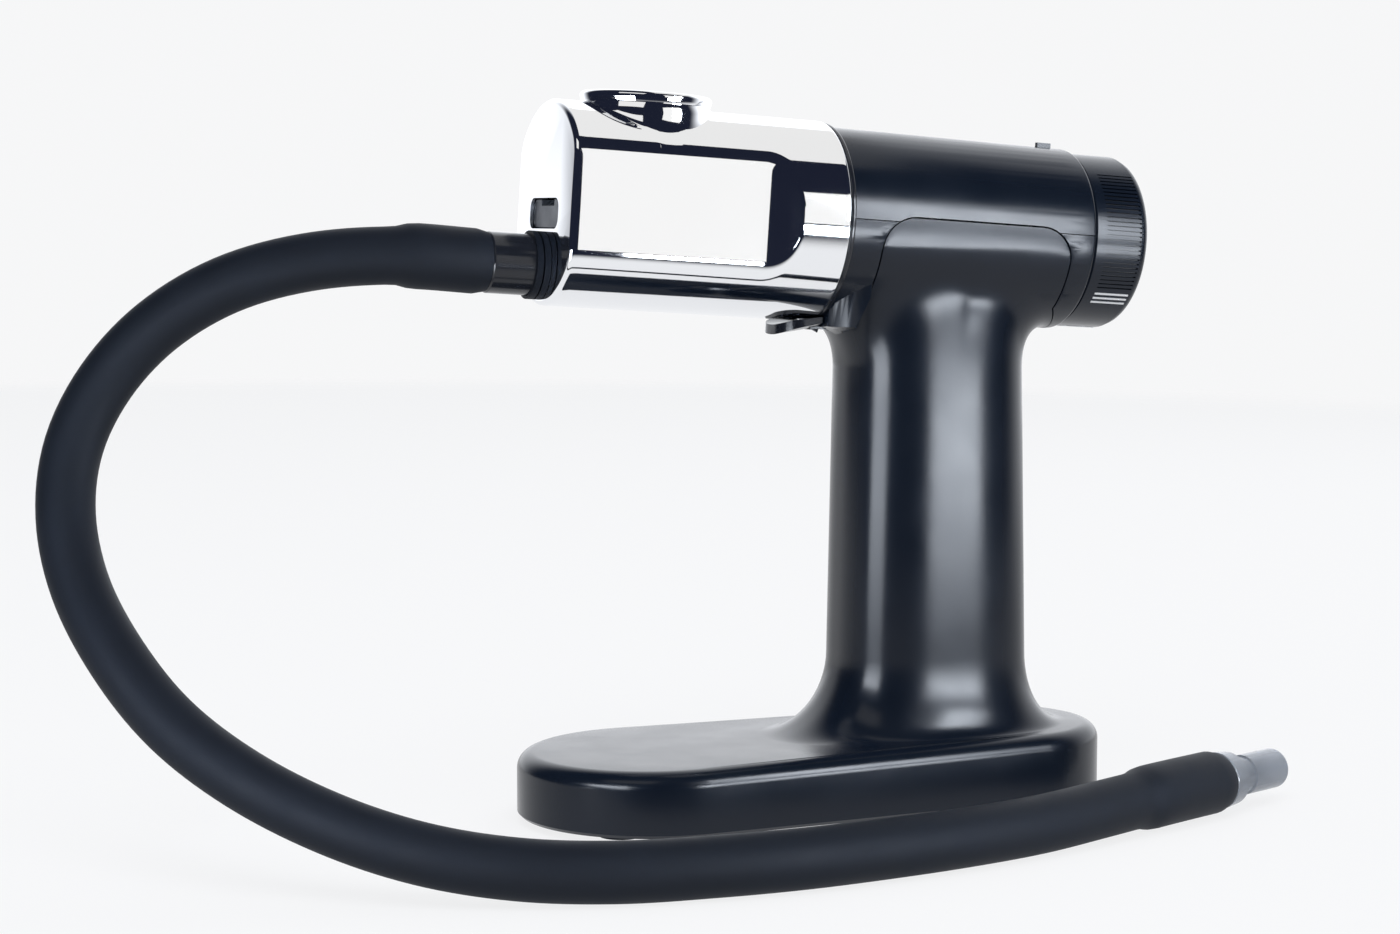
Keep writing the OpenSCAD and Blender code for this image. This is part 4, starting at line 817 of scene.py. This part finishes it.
offcut = block((-OFFCUT_S, -OFFCUT_Y, CHIN_Z), (OFFCUT_S, OFFCUT_Y, OFFCUT_TOP))
carve(offcut, prism(saddle_outline(), PATTERN_W))
housing_bore = drum((0, 0, 0), HOUSING_BORE, BORE_L, "X", 128)
passage = drum((PASSAGE_S, 0, PASSAGE_Z), PASSAGE_R, PASSAGE_L, segments=48)
for tool in (offcut, housing_bore, passage):
    tool.data.transform(TUBE)
    carve(stand, tool)
hollow = plan_solid(base_plan(BASE_WALL), FOOT_H - 1, BASE_NOSE_H - BASE_WALL)
for x, y in BOSSES:
    carve(hollow, drum((x, y, BOSS_FOOT + BOSS_L / 2), BOSS_R, BOSS_L, segments=32))
carve(stand, hollow)
carve(stand, plan_solid(oval(GRIP_X, BAY_HALF, BAY_SIDE, BAY_N), FOOT_H, BAY_TOP))
print("stand:", open_edges(stand), "open edges")
stand.data.transform(TO_METRES)
smooth_over(stand.data, 35)
dress(stand, "stand", "black_satin", "stand_shell")

# %% [markdown]
# ## The smaller pieces
# The housing's halves, the bezel, the lever, the spigot and the ash tray already have the
# right shape in the frame, but their edges are knife sharp, and no moulded or pressed edge
# is. A narrow round catches the light as a real one does. A Bevel modifier makes it on a
# copy, after the frame's loose triangles are merged and its flat faces joined.

# %% Softened copies of the frame's own pieces
MERGE = 0.004 * MM
FLAT_ANGLE = 1


def softened(name, body, slot, width=0.25, smooth=32):
    """A merged copy of one of the frame's pieces with a small round on its edges."""
    bm = bmesh.new()
    bm.from_mesh(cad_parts[name].data)
    bmesh.ops.remove_doubles(bm, verts=bm.verts, dist=MERGE)
    bmesh.ops.dissolve_limit(bm, angle_limit=math.radians(FLAT_ANGLE), verts=bm.verts,
                             edges=bm.edges)
    piece = as_object(bm, name + "_soft", smooth)
    modifier = piece.modifiers.new("round", "BEVEL")
    modifier.width = width * MM
    modifier.segments = 2
    modifier.limit_method = "ANGLE"
    modifier.angle_limit = math.radians(smooth)
    modifier.harden_normals = True
    return dress(piece, body, slot, name)


softened("housing_upper", "stand", "black_satin")
softened("housing_lower", "stand", "black_satin")
softened("front_bezel", "stand", "black_gloss")
softened("release_lever", "lever", "black_gloss", width=0.4)
softened("smoke_spigot", "barrel", "black_gloss", width=0.3)
# The ash tray's darkened steel stands in for the shade inside the slot: painted shade.
softened("ash_tray", "tray", "dark_steel", width=0.3)

# %% [markdown]
# ## The floor
# The floor is a pale round sheet, part glow and part paint: the glow makes it paper white,
# and the paint takes the object's soft shadow. Towards its rim it fades to clear, and the
# world behind it shows the camera the same paper colour, so no horizon is seen.

# %% Floor
PAPER = (0.925, 0.928, 0.935, 1)
PAPER_GLOW = 0.885
FLOOR_PAINT = (0.11, 0.112, 0.117, 1)
FLOOR_ROUGH = 0.9
FLOOR_MIDDLE = (0, 0.75, 0)
FLOOR_R = 1.2
FLOOR_FADE = 0.95


def floor_paper():
    material, paint = new_material("paper", Base_Color=FLOOR_PAINT, Roughness=FLOOR_ROUGH,
                                   Specular_IOR_Level=0, Emission_Color=PAPER,
                                   Emission_Strength=PAPER_GLOW)
    tree, link = material.node_tree, material.node_tree.links.new
    clear = add_node(tree, "BsdfTransparent")
    place = add_node(tree, "TexCoord")
    distance = add_node(tree, "VectorMath")
    distance.operation = "DISTANCE"
    distance.inputs[1].default_value = FLOOR_MIDDLE
    fade = add_node(tree, "MapRange", From_Min=FLOOR_FADE, From_Max=FLOOR_R)
    fade.interpolation_type = "SMOOTHSTEP"
    blend = add_node(tree, "MixShader")
    link(place.outputs["Object"], distance.inputs[0])
    link(distance.outputs["Value"], fade.inputs["Value"])
    link(fade.outputs["Result"], blend.inputs["Fac"])
    link(paint.outputs["BSDF"], blend.inputs[1])
    link(clear.outputs["BSDF"], blend.inputs[2])
    link(blend.outputs["Shader"], tree.nodes["Material Output"].inputs["Surface"])
    return material


floor_bm = bmesh.new()
bmesh.ops.create_circle(floor_bm, cap_ends=True, segments=96, radius=FLOOR_R)
bmesh.ops.translate(floor_bm, verts=floor_bm.verts, vec=FLOOR_MIDDLE)
floor = as_object(floor_bm, "floor")
floor.data.materials.append(floor_paper())
print("floor:", 2 * FLOOR_R, "m across")

# %% [markdown]
# ## What the surfaces mirror
# Polished steel and black plastic look like what they mirror, so their surroundings are
# built for them. The camera sees the world as plain paper. Glossy rays see another world: a
# dark studio in front of the object, and a bright one behind it and to its right, which
# lights the edges that turn away. All other rays get a soft, even daylight.

# %% World
DAYLIGHT, DAYLIGHT_STRENGTH = (0.93, 0.96, 1.0, 1), 0.62
BRIGHT_STUDIO, BRIGHT_STRENGTH = (0.90, 0.92, 0.955, 1), 1.8
DARK_STUDIO = (0.012, 0.015, 0.030, 1)
BRIGHT_WAY = (0.6, 0.8, 0)
BRIGHT_FROM, BRIGHT_TO = 0.2, 0.75


def studio_world():
    world = bpy.data.worlds.new("studio")
    world.use_nodes = True
    tree, link = world.node_tree, world.node_tree.links.new
    tree.nodes.clear()

    def mixed_light(share, at_none, at_full):
        """A mix of two lights, by a share between none and full."""
        mix = add_node(tree, "MixShader")
        link(share, mix.inputs["Fac"])
        link(at_none, mix.inputs[1])
        link(at_full, mix.inputs[2])
        return mix.outputs["Shader"]

    def background(colour, strength=1):
        return add_node(tree, "Background", Color=colour, Strength=strength).outputs[0]

    place = add_node(tree, "TexCoord")
    ahead = add_node(tree, "VectorMath")
    ahead.operation = "DOT_PRODUCT"
    ahead.inputs[1].default_value = BRIGHT_WAY
    sweep = add_node(tree, "MapRange", From_Min=BRIGHT_FROM, From_Max=BRIGHT_TO)
    sweep.interpolation_type = "SMOOTHSTEP"
    link(place.outputs["Generated"], ahead.inputs[0])
    link(ahead.outputs["Value"], sweep.inputs["Value"])
    path = add_node(tree, "LightPath")
    mirrored = mixed_light(sweep.outputs["Result"], background(DARK_STUDIO),
                           background(BRIGHT_STUDIO, BRIGHT_STRENGTH))
    unseen = mixed_light(path.outputs["Is Glossy Ray"],
                         background(DAYLIGHT, DAYLIGHT_STRENGTH), mirrored)
    seen = mixed_light(path.outputs["Is Camera Ray"], unseen, background(PAPER))
    output = add_node(tree, "OutputWorld")
    link(seen, output.inputs["Surface"])
    return world


bpy.context.scene.world = studio_world()
print("world: brightest towards", BRIGHT_WAY)

# %% [markdown]
# ## Cards and lamps
# A card is a glowing sheet that only glossy rays see, so it draws a highlight and adds no
# light. Each card is meant for one surface, whose name it has, and stands where that surface
# mirrors it to the camera. Where a highlight fades, the card's glow grows from one edge to
# the other. Two wide lamps give the soft shadow, and no surface mirrors them.

# %% Cards and lamps
MIDDLE = (0, 0, 0.1)
WHITE = (1, 0.99, 0.97, 1)
COOL = (0.86, 0.92, 1, 1)


def aimed(thing, place, target):
    thing.location = place
    thing.rotation_euler = (Vector(target) - Vector(place)).to_track_quat("-Z", "Y").to_euler()
    return thing


def grow_glow(material, shader, foot, head, size, along):
    """Lets a sheet's glow grow from foot to head over its size along its own X or Y."""
    tree, link = material.node_tree, material.node_tree.links.new
    place = add_node(tree, "TexCoord")
    axes = add_node(tree, "SeparateXYZ")
    climb = add_node(tree, "MapRange", From_Min=-size / 2, From_Max=size / 2, To_Min=foot,
                     To_Max=head)
    link(place.outputs["Object"], axes.inputs["Vector"])
    link(axes.outputs[along], climb.inputs["Value"])
    link(climb.outputs["Result"], shader.inputs["Emission Strength"])


def card(name, place, target, width, height, glow, foot=None, along="Y", tint=COOL):
    """A glowing sheet that only glossy rays see. Its glow may grow from foot along an axis
    of its own, Y being up and X to the right."""
    bm = bmesh.new()
    bmesh.ops.create_grid(bm, x_segments=1, y_segments=1, size=0.5)
    bmesh.ops.scale(bm, verts=bm.verts, vec=(width, height, 1))
    sheet = aimed(as_object(bm, name), place, target)
    material, shader = new_material(name, Base_Color=(0, 0, 0, 1), Specular_IOR_Level=0,
                                    Emission_Color=tint, Emission_Strength=glow)
    if foot is not None:
        grow_glow(material, shader, foot, glow, height if along == "Y" else width, along)
    sheet.data.materials.append(material)
    sheet.visible_camera = False
    sheet.visible_diffuse = False
    sheet.visible_shadow = False
    print(name + ":", width, "x", height, "m")


def lamp(name, place, size, power):
    """A square lamp aimed at the object's middle, which no surface mirrors."""
    light = bpy.data.lights.new(name, "AREA")
    light.size = size
    light.energy = power
    aimed(put_in_scene(bpy.data.objects.new(name, light)), place, MIDDLE).visible_glossy = False


card("overhead", place=(0.045, 0.015, 0.30), target=(0.045, 0.015, 0.1), width=0.13,
     height=0.18, glow=0.94, tint=WHITE)
card("barrel_card", place=(0.2135, -0.44, 0.241), target=(0, 0, 0.241), width=0.304,
     height=0.282, glow=1.06, tint=WHITE)
card("housing_card", place=(0.282, -0.395, 0.245), target=(0.0685, 0.045, 0.245), width=0.151,
     height=0.20, glow=9, foot=36, along="X")
card("collar_card", place=(-0.295, -0.26, 0.42), target=(-0.035, 0, 0.16), width=0.35,
     height=0.20, glow=0.95, tint=WHITE)
card("grip_card", place=(0.217, -0.43, 0.041), target=(0.02, 0, 0.041), width=0.215,
     height=0.082, glow=38, foot=14)
card("left_card", place=(-0.30, -0.17, 0.06), target=(0.03, 0, 0.06), width=0.20,
     height=0.13, glow=21, foot=7)
lamp("key", place=(-0.3, -0.6, 1.2), size=0.9, power=9)
lamp("fill", place=(0.8, 0.5, 0.9), size=0.9, power=4)
